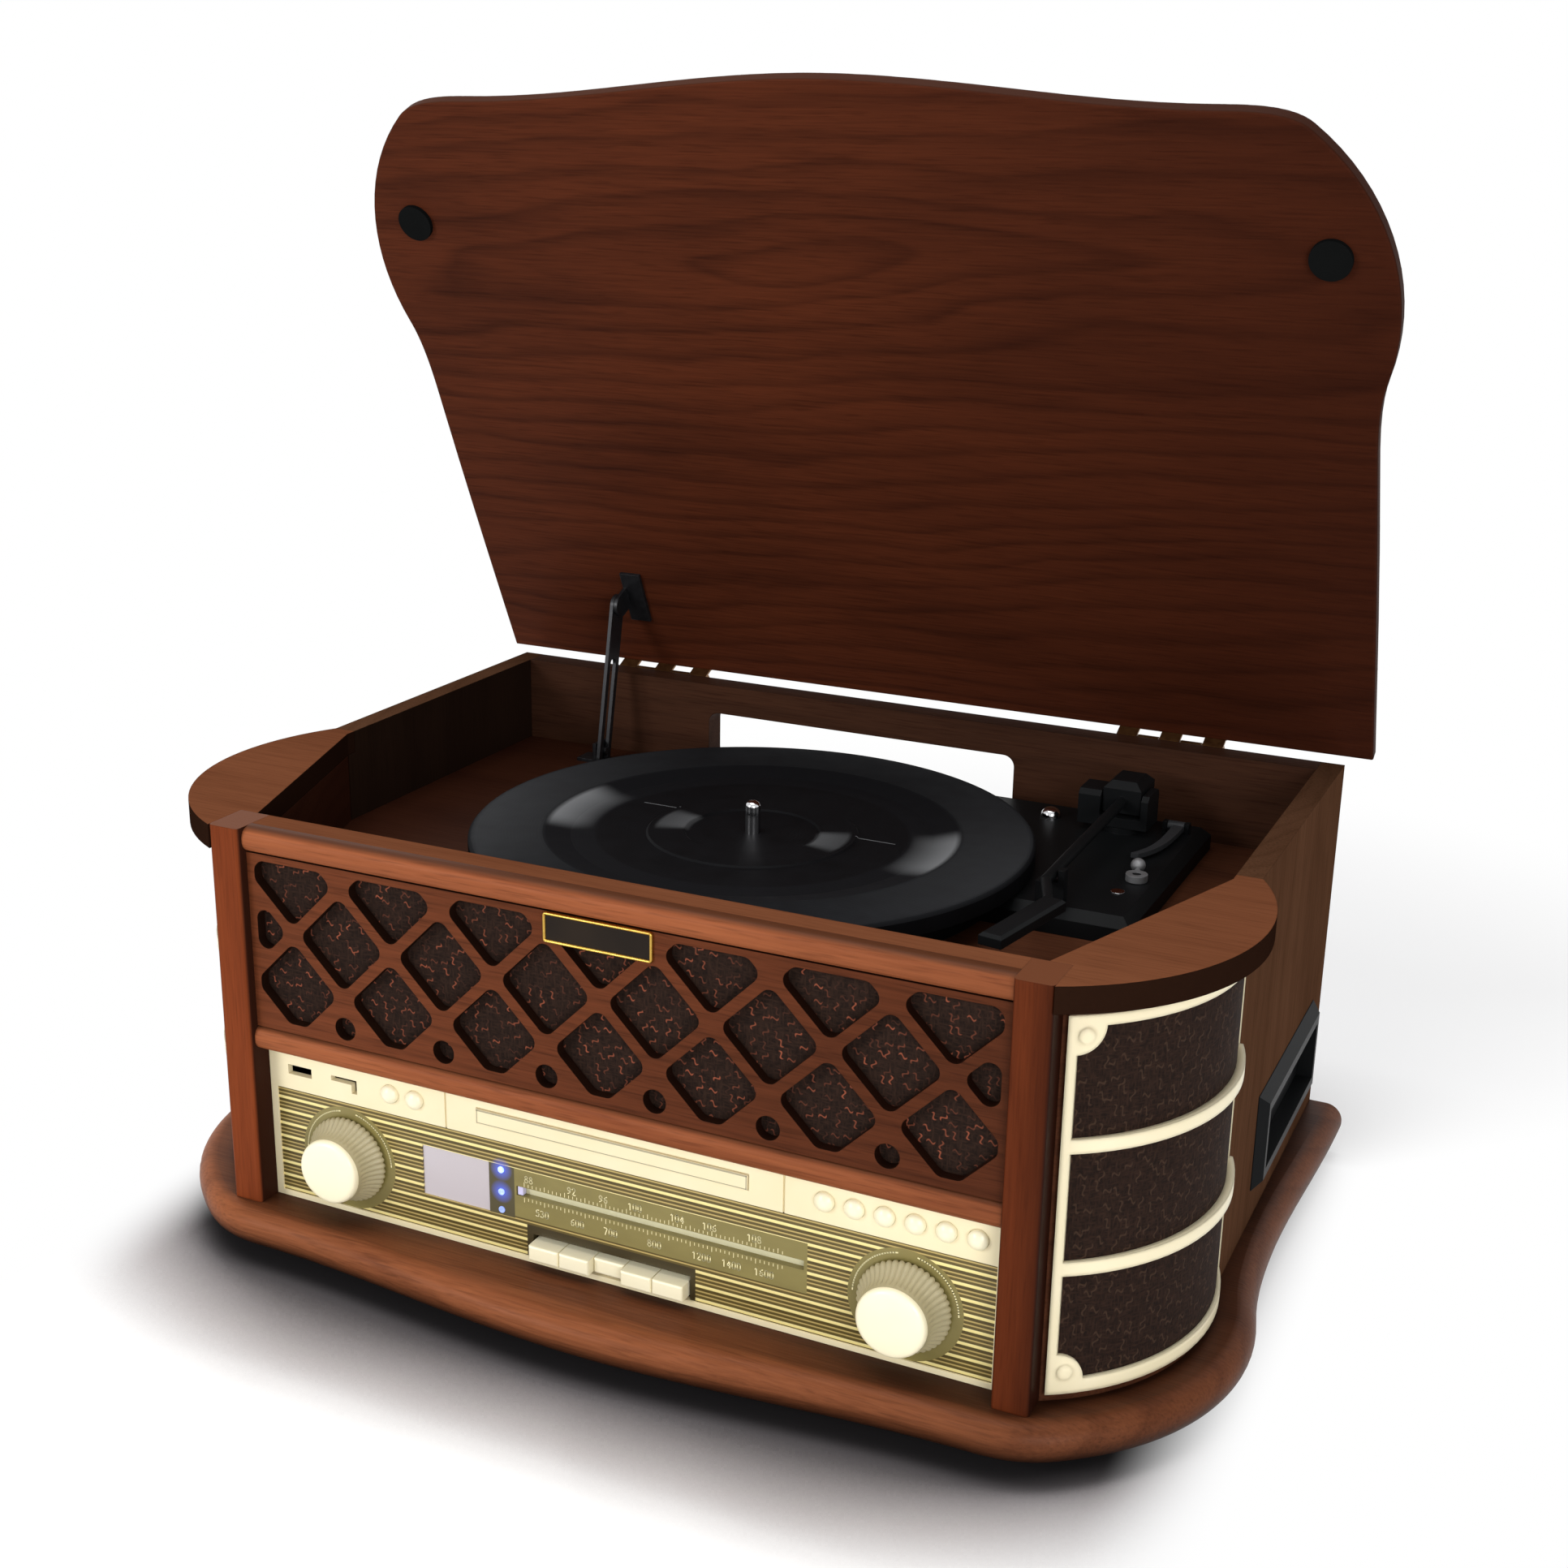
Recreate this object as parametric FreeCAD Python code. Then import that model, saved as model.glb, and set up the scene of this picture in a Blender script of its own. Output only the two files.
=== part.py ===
"""Record player with radio: a wooden music centre under a hinged lid, made of separate pieces.

Millimetres, +Z up. Pieces are drawn with y = 0 on the front face of the posts and x = 0 on the
centre plane; save() then moves them so that the origin lies under the middle of the whole object.
"""
import math
import os

import FreeCAD
import Part

# Cabinet
FOOT_H = 8.0
FOOT_R = 13.0
FOOT_INSET = 36.0
PLINTH_T = 18.0
CABINET_H = 179.0
CABINET_D = 324.3
WING_REACH = 247.0
WING_OUT = 57.0
WING_Y = 92.0
WALL_STEP = 15.1
POST_LIP = 9.0
SIDE_T = 11.0
REAR_T = 14.0
TOP_T = 11.0
POST_W = 15.6
POST_D = 22.0
POST_ROUND = 2.0
OPENING_SIDE_Y = 140.0
WELL_DEPTH = 45.0
FLOOR_T = 8.0
LINER_T = 6.0

# Plinth board overhang and outline
PLINTH_FRONT = 11.5
PLINTH_BOW = 12.0
PLINTH_BOW_IN = 18.0
PLINTH_LOBE = 7.8
PLINTH_ROUND_Y = (8.57, 118.74)
PLINTH_WAIST_OUT = 13.5
PLINTH_REAR_OUT = 16.9
WAIST_Y = 164.0

# Front mouldings, lattice and badge
MOULDING_H = 11.5
MOULDING_SET = 2.5
MOULDING_ROUND = 5.2
RAIL_SET = 10.0
FRET_SET = 5.0
FRET_T = 5.0
LATTICE_PITCH = 25.3
SLAT_W = 5.0
CELL_ROUND = 4.5
CELL_TOP_BAND = 3.0
CELL_BOTTOM_BAND = 4.5
CELL_END_BAND = 3.8
LATTICE_MID_DROP = 34.5
DROP_HOLE_R = 5.25
DROP_HOLE_UP = 8.0
CLOTH_T = 1.2
FRONT_BOARD_T = 8.8
BADGE_HALF_W = 25.2
BADGE_H = 13.4
BADGE_T = 1.6

# Rear slot for records larger than the well
SLOT_CENTRE_X = -19.0
SLOT_HALF_W = 88.0
SLOT_H = 28.5
SLOT_TOP_DROP = 15.5
SLOT_ROUND = 6.0

# Speakers in the wings
SPEAKER_STEP = 8.45
SPEAKER_FRAME_T = 1.8
SPEAKER_CLOTH_T = 0.8
BAFFLE_T = 5.6
SPEAKER_GAP = 2.7
SPEAKER_MARGIN = 4.35
STRIP_SIDE = 3.6
STRIP_TOP = 4.5
STRIP_BOTTOM = 6.0
BAR_H = 5.8
BAR_PROUD = 1.7
LOBE_R = 11.4
STUD_R = 3.3
STUD_PROUD = 1.4
STUD_IN = 7.4
DRIVER_R = 38.0
DRIVER_HOLE_R = 32.0
DRIVER_DEPTH = 34.0
MAGNET_R = 24.0
MAGNET_H = 14.0

# Radio front
FASCIA_H = 74.5
FASCIA_SET = 11.4
FASCIA_T = 3.0
DIAL_END = 3.4
DIAL_UP = 2.5
DIAL_H = 52.0
DIAL_RECESS = 0.8
DIAL_T = 3.0
DISPLAY_W = 34.3
DISPLAY_IN = 39.5
DISPLAY_Z = (45.0, 69.0)
DISPLAY_SET = 0.6
BAND_GAP = 13.7
BAND_IN = 44.0
BAND_Z = (56.4, 60.8)
PANE_T = 1.2
POINTER_W = 2.6
POINTER_STOP = 2.3
LENS_GAP = 6.2
LENS_Z = (66.7, 56.1, 47.5)
LENS_R = 1.5
LENS_PROUD = 0.4
KNOB_IN = 37.5
KNOB_UP = 27.0
KNOB_FACE_R = 15.0
KNOB_BASE_R = 20.5
KNOB_LENGTH = 16.6
KNOB_FLARE = 8.0
KNOB_GAP = 0.6
SHAFT_R = 3.0
SHAFT_LENGTH = 16.0
POT_R = 8.5
KEY_COUNT = 5
KEY_PITCH = 15.0
KEY_GAP = 0.5
KEY_H = 7.0
KEY_UP = 4.0
KEY_PROUD = 4.9
KEY_DEPTH = 11.0
KEY_TRAVEL = 4.0
KEY_RECESS_H = 11.0
KEY_STEM = (6.0, 4.0)
KEY_LATCHED = 3
BUTTON_R = 4.25
BUTTON_PROUD = 3.4
BUTTON_DEPTH = 11.0
BUTTON_TRAVEL = 1.2
BUTTON_PITCH = 12.9
BUTTON_ROW_UP = 9.8
BUTTON_END = 11.0
MODE_BUTTON_OUT = 31.8
MODE_BUTTON_COUNT = 2
TRACK_BUTTON_OUT = 33.8
USB_IN = 16.6
USB_SIZE = (12.7, 4.6)
CARD_IN = 40.5
CARD_SIZE = (13.7, 2.4)
CARD_LEG = (2.8, 6.6)
CARD_UP = 2.0
DIVIDER_OUT = 16.0
GROOVE = 0.8

# CD drive, circuit board and supply
TRAY_HALF_W = 64.5
TRAY_FRONT_H = 6.8
TRAY_PROUD = 0.8
TRAY_DEPTH = 134.0
TRAY_TRAVEL = 120.0
TRAY_PLATE_T = 3.2
DISC_R = 60.5
DISC_SINK = 1.4
CD_WALL = 6.0
CD_DEPTH = 154.0
CD_BELOW = 20.0
CD_ABOVE = 4.5
BOARD_END = 26.5
BOARD_H = 36.0
BOARD_T = 1.6
BANK_DEPTH = 8.0
TRANSFORMER = (50.0, 60.0, 46.0)
TRANSFORMER_IN = 45.9
TRANSFORMER_Y = 205.0
COIL_PROUD = 9.0
INLET_IN = 70.9
INLET_UP = 34.0
INLET_SIZE = (24.0, 16.0)
INLET_DEPTH = 20.0
INLET_FLANGE = 3.0
INLET_PIN_R = 1.2
INLET_PIN_PITCH = 8.6

# Cassette slot in the right wall
BEZEL_AHEAD = 81.9
BEZEL_UP = 40.8
BEZEL_SIZE = (119.2, 46.4)
BEZEL_PROUD = 4.6
BEZEL_BEVEL = 4.2
MOUTH = (104.0, 29.0)
TUNNEL_T = 2.5
TUNNEL_DEPTH = 28.0
DOOR_T = 1.8
DOOR_PIN_R = 1.2
DOOR_KNUCKLE_R = 2.0
DOOR_SET = 5.0
CASSETTE_BODY = (94.0, 113.0, 58.0)
CASSETTE_SINK = 66.0
CASSETTE_ROOM = 15.0

# Turntable
PLATTER_X = -10.4
PLATTER_Y = 166.9
PLATTER_R = 132.2
PLATTER_UP = 22.0
PLATTER_SKIRT = 8.5
PLATTER_WEB = 4.0
LABEL_R = 50.0
SLOPE_R = (85.0, 98.0)
SLOPE_DROP = 2.4
HUB_R = 58.0
HUB_RING = 4.0
SPINDLE_R = 3.6
SPINDLE_UP = 35.0
DECK_T = 12.0
DECK_SKIN = 2.0
DECK_R = 118.0
DECK_RECESS_R = 104.0
DECK_X = (60.0, 175.4)
DECK_Y = (156.5, 300.0)
DECK_BEVEL = 4.5
BOSS_R = 9.0
MOTOR_REACH = 79.0
MOTOR_BEARING = 135.0
MOTOR_R = 15.0
MOTOR_H = 24.0
MOTOR_SHAFT_R = 1.0
PULLEY_R = 5.5
PULLEY_H = 6.0
BELT_T = 1.0
BELT_H = 4.0
SCREW_R = 3.2
SCREW_H = 1.6
SCREW_EDGE = 12.0
SCREW_MID_X = 70.0
DOME_OUT = 23.72
DOME_BEARING = 44.714
DOME_R = 5.0
DOME_H = 5.0
DECK_SCREW_AT = (160.0, 189.5)

# Tonearm, cue lever and speed selector
ARM_X = 138.0
ARM_Y = 276.0
ARM_BASE_R = 10.0
ARM_BASE_H = 3.0
ARM_PIN_R = 3.0
ARM_PIN_H = 4.0
GIMBAL_X = (117.0, 151.5)
GIMBAL_D = 20.0
GIMBAL_BASE_H = 5.0
CHEEK_LEFT_T = 11.0
CHEEK_RIGHT_T = 3.5
CHEEK_H = 12.0
TRUNNION_R = 1.5
TRUNNION_UP = 12.7
WEIGHT_D = 24.0
WEIGHT_H = 15.5
WEIGHT_CLEAR = 1.8
WEIGHT_BEVEL = 3.5
TUBE_R = 2.6
TUBE_LENGTH = 116.0
TUBE_FALL = 1.8
HEAD_REAR = (12.8, -151.5)
HEAD_TIP = (2.8, -204.5)
HEAD_W = 10.6
HEAD_H = 5.2
STYLUS_H = 1.6
STYLUS_BACK = 6.0
STYLUS_CLEAR = 1.2
REST_BACK = 115.5
REST_D = 5.0
REST_W = 13.0
PRONG_W = 3.0
PRONG_UP = 6.0
LEVER_X = (158.0, 166.0)
LEVER_Y = 283.0
LEVER_REACH = 51.0
LEVER_W = 5.6
LEVER_HOOK = 8.0
LEVER_T = 2.4
LEVER_HUB_R = 2.6
LEVER_PIN_R = 1.3
LUG_T = 2.2
SELECTOR_AT = (163.6, 207.0)
SELECTOR_HUB_R = 5.0
SELECTOR_HUB_H = 3.2
SELECTOR_PIN_R = 2.0
SELECTOR_REACH = (-2.4, 10.8)
SELECTOR_BALL_R = 3.4

# Lid, hinges and stay
LID_T = 9.0
LID_GAP = 2.5
LID_OPEN = 64.5
LID_FRONT = 3.4
LID_BOW = 12.0
LID_BOW_IN = 14.0
LID_LOBE = 3.25
LID_LOBE_SHIFT = (0.35, -8.0)
LID_ROUND_Y = (4.0, 115.0)
LID_WAIST_OUT = 10.7
LID_REAR_OUT = 11.9
LID_EDGE_OUT = 3.0
LID_EDGE_IN = 1.0
HINGE_DROP = 3.2
HINGE_X = 144.5
HINGE_W = 55.0
KNUCKLE_R = 3.3
KNUCKLE_COUNT = 5
HINGE_PIN_R = 1.3
LEAF_T = 1.2
LEAF_DOWN = 20.0
LEAF_EDGE = 1.0
BUMPER_IN = (24.7, 33.5)
BUMPER_R = 9.0
BUMPER_T = 2.2
STAY_X = -160.0
STAY_T = 2.0
STAY_W = 12.0
STAY_PIVOT_BACK = 46.3
STAY_PIVOT_DROP = 9.7
STAY_PIN_R = 2.0
STAY_GUIDE_Y = 287.0
STAY_GUIDE_UP = 6.0
STAY_PLAY = 0.9
STAY_END = 5.0
EAR_T = 2.0
STAY_PLATE = (12.0, 31.0, 1.8)

# Fits
FIT = 0.05
RUN = 0.3
PRESS_GAP = 0.1

# Levels and places that follow from the sizes
FRONT_HALF_W = WING_REACH - WING_OUT
OPENING_FRONT_HALF = FRONT_HALF_W - POST_LIP
BODY_HALF_W = WING_REACH - WALL_STEP
PLINTH_Z = FOOT_H + PLINTH_T
TOP_Z = PLINTH_Z + CABINET_H
FRAME_Z = TOP_Z - TOP_T
FLOOR_Z = TOP_Z - WELL_DEPTH
INNER_HALF = FRONT_HALF_W - POST_W
WALL_IN = BODY_HALF_W - SIDE_T
REAR_IN = CABINET_D - REAR_T
WING_X = (WING_REACH ** 2 - FRONT_HALF_W ** 2 - WING_Y ** 2) / (2 * (WING_REACH - FRONT_HALF_W))
WING_R = WING_REACH - WING_X
WING_END_Y = WING_Y + math.sqrt(WING_R ** 2 - (BODY_HALF_W - WING_X) ** 2)
SPEAKER_R = WING_R - SPEAKER_STEP
SPEAKER_CLOTH_R = SPEAKER_R - SPEAKER_FRAME_T
BAFFLE_R = SPEAKER_CLOTH_R - SPEAKER_CLOTH_T - PRESS_GAP
SIDE_FRONT_Y = WING_Y + math.sqrt(SPEAKER_R ** 2 - (BODY_HALF_W - WING_X) ** 2)
SPEAKER_FRONT_X = FRONT_HALF_W + SPEAKER_GAP
SPEAKER_FRONT_TURN = math.acos((SPEAKER_FRONT_X - WING_X) / SPEAKER_R)
SPEAKER_REAR_TURN = math.acos((BODY_HALF_W - WING_X) / SPEAKER_R)
DRIVER_TURN = (SPEAKER_REAR_TURN - SPEAKER_FRONT_TURN) / 2
SPEAKER_Z = (PLINTH_Z + SPEAKER_MARGIN, FRAME_Z - SPEAKER_MARGIN)
FASCIA_Z = PLINTH_Z + FASCIA_H
FRET_Z = FASCIA_Z + MOULDING_H
FRET_TOP = TOP_Z - MOULDING_H
FRET_BACK = FRET_SET + FRET_T
BOARD_FRONT = FRET_BACK + CLOTH_T
FASCIA_BACK = FASCIA_SET + FASCIA_T
DIAL_HALF_W = INNER_HALF - DIAL_END
DIAL_Z = PLINTH_Z + DIAL_UP
DIAL_TOP = DIAL_Z + DIAL_H
DIAL_FACE = FASCIA_SET + DIAL_RECESS
DIAL_BACK = DIAL_FACE + DIAL_T
KNOB_X = DIAL_HALF_W - KNOB_IN
KNOB_Z = PLINTH_Z + KNOB_UP
BOARD_HALF_W = KNOB_X + BOARD_END
DISPLAY_X = (DISPLAY_IN - KNOB_X, DISPLAY_IN - KNOB_X + DISPLAY_W)
BAND_X = (DISPLAY_X[1] + BAND_GAP, KNOB_X - BAND_IN)
LENS_X = DISPLAY_X[1] + LENS_GAP
POINTER_TRAVEL = BAND_X[1] - BAND_X[0] - POINTER_W - 2 * RUN - POINTER_STOP
KEY_Z = PLINTH_Z + KEY_UP
KEY_FRONT = FASCIA_SET - KEY_PROUD
KEY_BACK = KEY_FRONT + KEY_DEPTH
BANK_FRONT = KEY_BACK + KEY_TRAVEL + RUN
PCB_FRONT = BANK_FRONT + BANK_DEPTH
BUTTON_Z = DIAL_TOP + BUTTON_ROW_UP
MODE_BUTTON_X = -TRAY_HALF_W - MODE_BUTTON_OUT - (MODE_BUTTON_COUNT - 1) * BUTTON_PITCH
TRACK_BUTTON_X = TRAY_HALF_W + TRACK_BUTTON_OUT
TRACK_BUTTON_COUNT = 1 + int((INNER_HALF - BUTTON_END - TRACK_BUTTON_X) / BUTTON_PITCH)
USB_X = USB_IN - INNER_HALF
CARD_X = CARD_IN - INNER_HALF
DIVIDER_X = TRAY_HALF_W + DIVIDER_OUT
DECK_TOP = FLOOR_Z + DECK_T
PLATTER_TOP = FLOOR_Z + PLATTER_UP
PLATTER_LOW = PLATTER_TOP - PLATTER_SKIRT
LID_Z = TOP_Z + LID_GAP
LID_REAR = CABINET_D + RUN
HINGE_Y = CABINET_D + KNUCKLE_R + RUN
HINGE_Z = TOP_Z - HINGE_DROP
STAY_GUIDE_Z = FLOOR_Z + STAY_GUIDE_UP
GIMBAL_Z = DECK_TOP + ARM_BASE_H + RUN
TRUNNION_Z = GIMBAL_Z + TRUNNION_UP
TRANSFORMER_X = TRANSFORMER_IN - WALL_IN
INLET_AT = (INLET_IN - WALL_IN, PLINTH_Z + INLET_UP)
BEZEL_AT = (CABINET_D - BEZEL_AHEAD, PLINTH_Z + BEZEL_UP)
MOUTH_TOP = BEZEL_AT[1] + MOUTH[1] / 2
DOOR_AXIS = (BODY_HALF_W - DOOR_SET, MOUTH_TOP - DOOR_KNUCKLE_R - RUN)


def vec(x, y, z):
    """A point or direction."""
    return FreeCAD.Vector(x, y, z)


def turn(y, z, degrees):
    """A side-view point turned about the lid hinge axis."""
    a = math.radians(degrees)
    dy = y - HINGE_Y
    dz = z - HINGE_Z
    return (HINGE_Y + dy * math.cos(a) - dz * math.sin(a), HINGE_Z + dy * math.sin(a) + dz * math.cos(a))


LID_BACK_Y = turn(LID_REAR, LID_Z + LID_T, -LID_OPEN)[0]
CENTRE_Y = (LID_BACK_Y - PLINTH_FRONT - PLINTH_BOW) / 2


def save(name, solids):
    """Write one node, moved so that the origin lies under the middle of the object."""
    shape = solids[0] if len(solids) == 1 else Part.makeCompound(solids)
    moved = shape.copy()
    moved.translate(vec(0, -CENTRE_Y, 0))
    moved.exportStep("parts/" + name + ".step")


def box(x, y, z):
    """A block between the low and high values given for each axis."""
    return Part.makeBox(x[1] - x[0], y[1] - y[0], z[1] - z[0], vec(x[0], y[0], z[0]))


def block(centre_x, width, y, z):
    """A block centred on centre_x."""
    return box((centre_x - width / 2, centre_x + width / 2), y, z)


def upright(x, y, z, radius):
    """A vertical round bar between two heights."""
    return Part.makeCylinder(radius, z[1] - z[0], vec(x, y, z[0]), vec(0, 0, 1))


def cross_bar(x, y, z, radius):
    """A round bar along x."""
    return Part.makeCylinder(radius, x[1] - x[0], vec(x[0], y, z), vec(1, 0, 0))


def deep_bar(x, y, z, radius):
    """A round bar along y."""
    return Part.makeCylinder(radius, y[1] - y[0], vec(x, y[0], z), vec(0, 1, 0))


def plan_prism(points, z):
    """A prism on a plan outline."""
    face = Part.Face(Part.makePolygon([vec(x, y, z[0]) for x, y in points + points[:1]]))
    return face.extrude(vec(0, 0, z[1] - z[0]))


def mirrored(shape):
    """The same piece on the other side of the centre plane."""
    return shape.mirror(vec(0, 0, 0), vec(1, 0, 0))


def pair(shape):
    """A piece and its mirror image."""
    return [shape, mirrored(shape)]


def smooth(points, start, end):
    """A smooth edge through plan points with the given end directions."""
    curve = Part.BSplineCurve()
    curve.interpolate(
        Points=[vec(x, y, 0) for x, y in points],
        InitialTangent=vec(start[0], start[1], 0),
        FinalTangent=vec(end[0], end[1], 0),
    )
    return curve.toShape()


def ring_sector(inner, outer, z):
    """The right wing's upright ring between two radii."""
    ring = upright(WING_X, WING_Y, z, outer)
    return ring.cut(upright(WING_X, WING_Y, z, inner))


def board_outline(front, bow, bow_half, lobe, lobe_r, round_y, waist_half, rear_half, rear):
    """Plan face with a bowed front, round lobes at the corners, a slight waist and a straight rear."""
    first = math.asin((round_y[0] - lobe[1]) / lobe_r)
    last = math.asin((round_y[1] - lobe[1]) / lobe_r)
    middle = (first + last) / 2
    begin = (lobe[0] + lobe_r * math.cos(first), lobe[1] + lobe_r * math.sin(first))
    centre = (lobe[0] + lobe_r * math.cos(middle), lobe[1] + lobe_r * math.sin(middle))
    end = (lobe[0] + lobe_r * math.cos(last), lobe[1] + lobe_r * math.sin(last))
    bow_points = [(-bow_half, -front), (-bow_half / 2, -front - bow / 2), (0, -front - bow)]
    bow_points += [(-x, y) for x, y in reversed(bow_points[:-1])]
    right = [
        smooth([(bow_half, -front), begin], (1, 0), (-math.sin(first), math.cos(first))),
        Part.Arc(vec(*begin, 0), vec(*centre, 0), vec(*end, 0)).toShape(),
        smooth([end, (waist_half, WAIST_Y), (rear_half, rear)], (-math.sin(last), math.cos(last)), (0, 1)),
    ]
    edges = [smooth(bow_points, (1, 0), (1, 0))] + right + [mirrored(edge) for edge in right]
    edges.append(Part.makeLine(vec(-rear_half, rear, 0), vec(rear_half, rear, 0)))
    return Part.Face(Part.Wire(Part.__sortEdges__(edges)))


def rim_edges(shape, z, rear):
    """Edges of the outline at one height, without the straight rear one."""
    found = []
    for edge in shape.Edges:
        limits = edge.BoundBox
        level = abs(limits.ZMin - z) < 1e-3 and abs(limits.ZMax - z) < 1e-3
        if level and limits.YMin < rear - 1e-3:
            found.append(edge)
    return found


def upright_edges(shape, y):
    """Vertical edges that lie on one plane y."""
    found = []
    for edge in shape.Edges:
        limits = edge.BoundBox
        if limits.ZLength > 1 and limits.YLength < 1e-3 and abs(limits.YMin - y) < 1e-3:
            if limits.XLength < 1e-3:
                found.append(edge)
    return found


def plinth_base():
    """Board under the cabinet with a half-round edge at the front and sides."""
    lobe = (WING_X, WING_Y)
    face = board_outline(PLINTH_FRONT, PLINTH_BOW, FRONT_HALF_W - PLINTH_BOW_IN, lobe, WING_R + PLINTH_LOBE,
                         PLINTH_ROUND_Y, BODY_HALF_W + PLINTH_WAIST_OUT, BODY_HALF_W + PLINTH_REAR_OUT,
                         CABINET_D)
    board = face.extrude(vec(0, 0, PLINTH_T))
    edges = rim_edges(board, 0, CABINET_D) + rim_edges(board, PLINTH_T, CABINET_D)
    board = board.makeFillet(PLINTH_T * 0.48, edges)
    board.translate(vec(0, 0, FOOT_H))
    return [board]


def rubber_feet():
    """Four round feet under the plinth."""
    feet = []
    for y in (FOOT_INSET, CABINET_D - FOOT_INSET):
        foot = upright(FRONT_HALF_W, y, (0, FOOT_H), FOOT_R)
        feet += pair(foot)
    return feet


def side_walls():
    """Side walls behind the wings, the right one with the cassette opening."""
    wall = box((WALL_IN, BODY_HALF_W), (SIDE_FRONT_Y, CABINET_D), (PLINTH_Z, TOP_Z))
    wall = wall.cut(box((WALL_IN - 1, BODY_HALF_W + 1), (SIDE_FRONT_Y - 1, WING_END_Y), (FRAME_Z, TOP_Z + 1)))
    return [wall.cut(cassette_tunnel(0)), mirrored(wall)]


def rear_panel():
    """Rear board with the record slot, the inlet opening and the stay clearance."""
    panel = box((-WALL_IN, WALL_IN), (REAR_IN, CABINET_D), (PLINTH_Z, TOP_Z))
    top = TOP_Z - SLOT_TOP_DROP
    slot = block(SLOT_CENTRE_X, 2 * SLOT_HALF_W, (REAR_IN - 1, CABINET_D + 1), (top - SLOT_H, top))
    corners = [edge for edge in slot.Edges if edge.BoundBox.YLength > REAR_T]
    slot = slot.makeFillet(SLOT_ROUND, corners)
    inlet = block(INLET_AT[0], INLET_SIZE[0], (REAR_IN - 1, CABINET_D + 1),
                  (INLET_AT[1] - INLET_SIZE[1] / 2, INLET_AT[1] + INLET_SIZE[1] / 2))
    return [panel.cut([slot, inlet])]


def top_frame():
    """Front rail and the two rounded wings, open towards the record well."""
    rail = box((-INNER_HALF, INNER_HALF), (RAIL_SET, POST_D), (FRAME_Z, TOP_Z))
    disc = upright(WING_X, WING_Y, (FRAME_Z, TOP_Z), WING_R)
    beyond = WING_REACH + WING_Y
    wing = disc.common(plan_prism([
        (FRONT_HALF_W, -WING_Y), (beyond, -WING_Y), (beyond, WING_END_Y), (WALL_IN, WING_END_Y),
        (WALL_IN, OPENING_SIDE_Y), (OPENING_FRONT_HALF, POST_D), (FRONT_HALF_W, POST_D),
    ], (FRAME_Z - 1, TOP_Z + 1)))
    return [rail] + pair(wing)


def front_posts():
    """Square posts at both ends of the front."""
    post = box((INNER_HALF, FRONT_HALF_W), (0, POST_D), (PLINTH_Z, TOP_Z))
    return pair(post.makeFillet(POST_ROUND, upright_edges(post, 0)))


def front_mouldings():
    """Rounded strips across the front, above and below the lattice."""
    strips = []
    for z, back in ((FASCIA_Z, FASCIA_BACK), (FRET_TOP, RAIL_SET)):
        strip = box((-INNER_HALF, INNER_HALF), (MOULDING_SET, back), (z, z + MOULDING_H))
        front = [edge for edge in strip.Edges
                 if edge.BoundBox.XLength > 1 and edge.BoundBox.YMax < MOULDING_SET + 1e-3]
        strips.append(strip.makeFillet(MOULDING_ROUND, front))
    return strips


def lattice_cell(x, z, window):
    """One opening of the lattice: a square on its corner, cut to the window and rounded at each corner."""
    half = LATTICE_PITCH - SLAT_W / math.sqrt(2)
    y = FRET_SET - 1
    left = vec(x - half, y, z)
    outline = [left, vec(x, y, z + half), vec(x + half, y, z), vec(x, y, z - half), left]
    square = Part.Face(Part.makePolygon(outline)).extrude(vec(0, FRET_T + 2, 0))
    cell = square.common(window).Solids[0]
    return cell.makeFillet(CELL_ROUND, [edge for edge in cell.Edges if edge.BoundBox.YLength > FRET_T])


def grille_fret():
    """Wooden lattice between the mouldings."""
    plate = box((-INNER_HALF, INNER_HALF), (FRET_SET, FRET_BACK), (FRET_Z, FRET_TOP))
    middle = FRET_TOP - LATTICE_MID_DROP
    window = box((-INNER_HALF + CELL_END_BAND, INNER_HALF - CELL_END_BAND), (0, FRET_BACK + 2),
                 (FRET_Z + CELL_BOTTOM_BAND, FRET_TOP - CELL_TOP_BAND))
    columns = int(math.ceil(INNER_HALF / LATTICE_PITCH))
    holes = []
    for column in range(-columns, columns + 1):
        x = column * LATTICE_PITCH
        if column % 2:
            holes.append(lattice_cell(x, middle, window))
            if abs(x) < INNER_HALF - LATTICE_PITCH:
                holes.append(deep_bar(x, (0, FRET_BACK + 1), FRET_Z + DROP_HOLE_UP, DROP_HOLE_R))
        else:
            for z in (middle - LATTICE_PITCH, middle + LATTICE_PITCH):
                holes.append(lattice_cell(x, z, window))
    return [plate.cut(holes)]


def wing_bounds(front_x, rear_y, z):
    """Region of the right wing between the post side and the side wall."""
    return box((front_x, WING_REACH + 20), (0, rear_y), z)


def grille_cloths():
    """Cloth behind the lattice and behind each speaker frame."""
    front = box((-INNER_HALF, INNER_HALF), (FRET_BACK, BOARD_FRONT), (FRET_Z, FRET_TOP))
    wing = ring_sector(SPEAKER_CLOTH_R - SPEAKER_CLOTH_T, SPEAKER_CLOTH_R, SPEAKER_Z)
    wing = wing.common(wing_bounds(SPEAKER_FRONT_X, SIDE_FRONT_Y, SPEAKER_Z))
    return [front] + pair(wing)


def badge_plate():
    """Small bare plate on the middle of the lattice."""
    return [block(0, 2 * BADGE_HALF_W, (FRET_SET - BADGE_T, FRET_SET), (FRET_TOP - BADGE_H, FRET_TOP))]


def well_block(z):
    """Block of the record well between two heights."""
    return plan_prism([
        (-OPENING_FRONT_HALF, POST_D), (OPENING_FRONT_HALF, POST_D), (WALL_IN, OPENING_SIDE_Y),
        (WALL_IN, REAR_IN), (-WALL_IN, REAR_IN), (-WALL_IN, OPENING_SIDE_Y),
    ], z)


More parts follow.
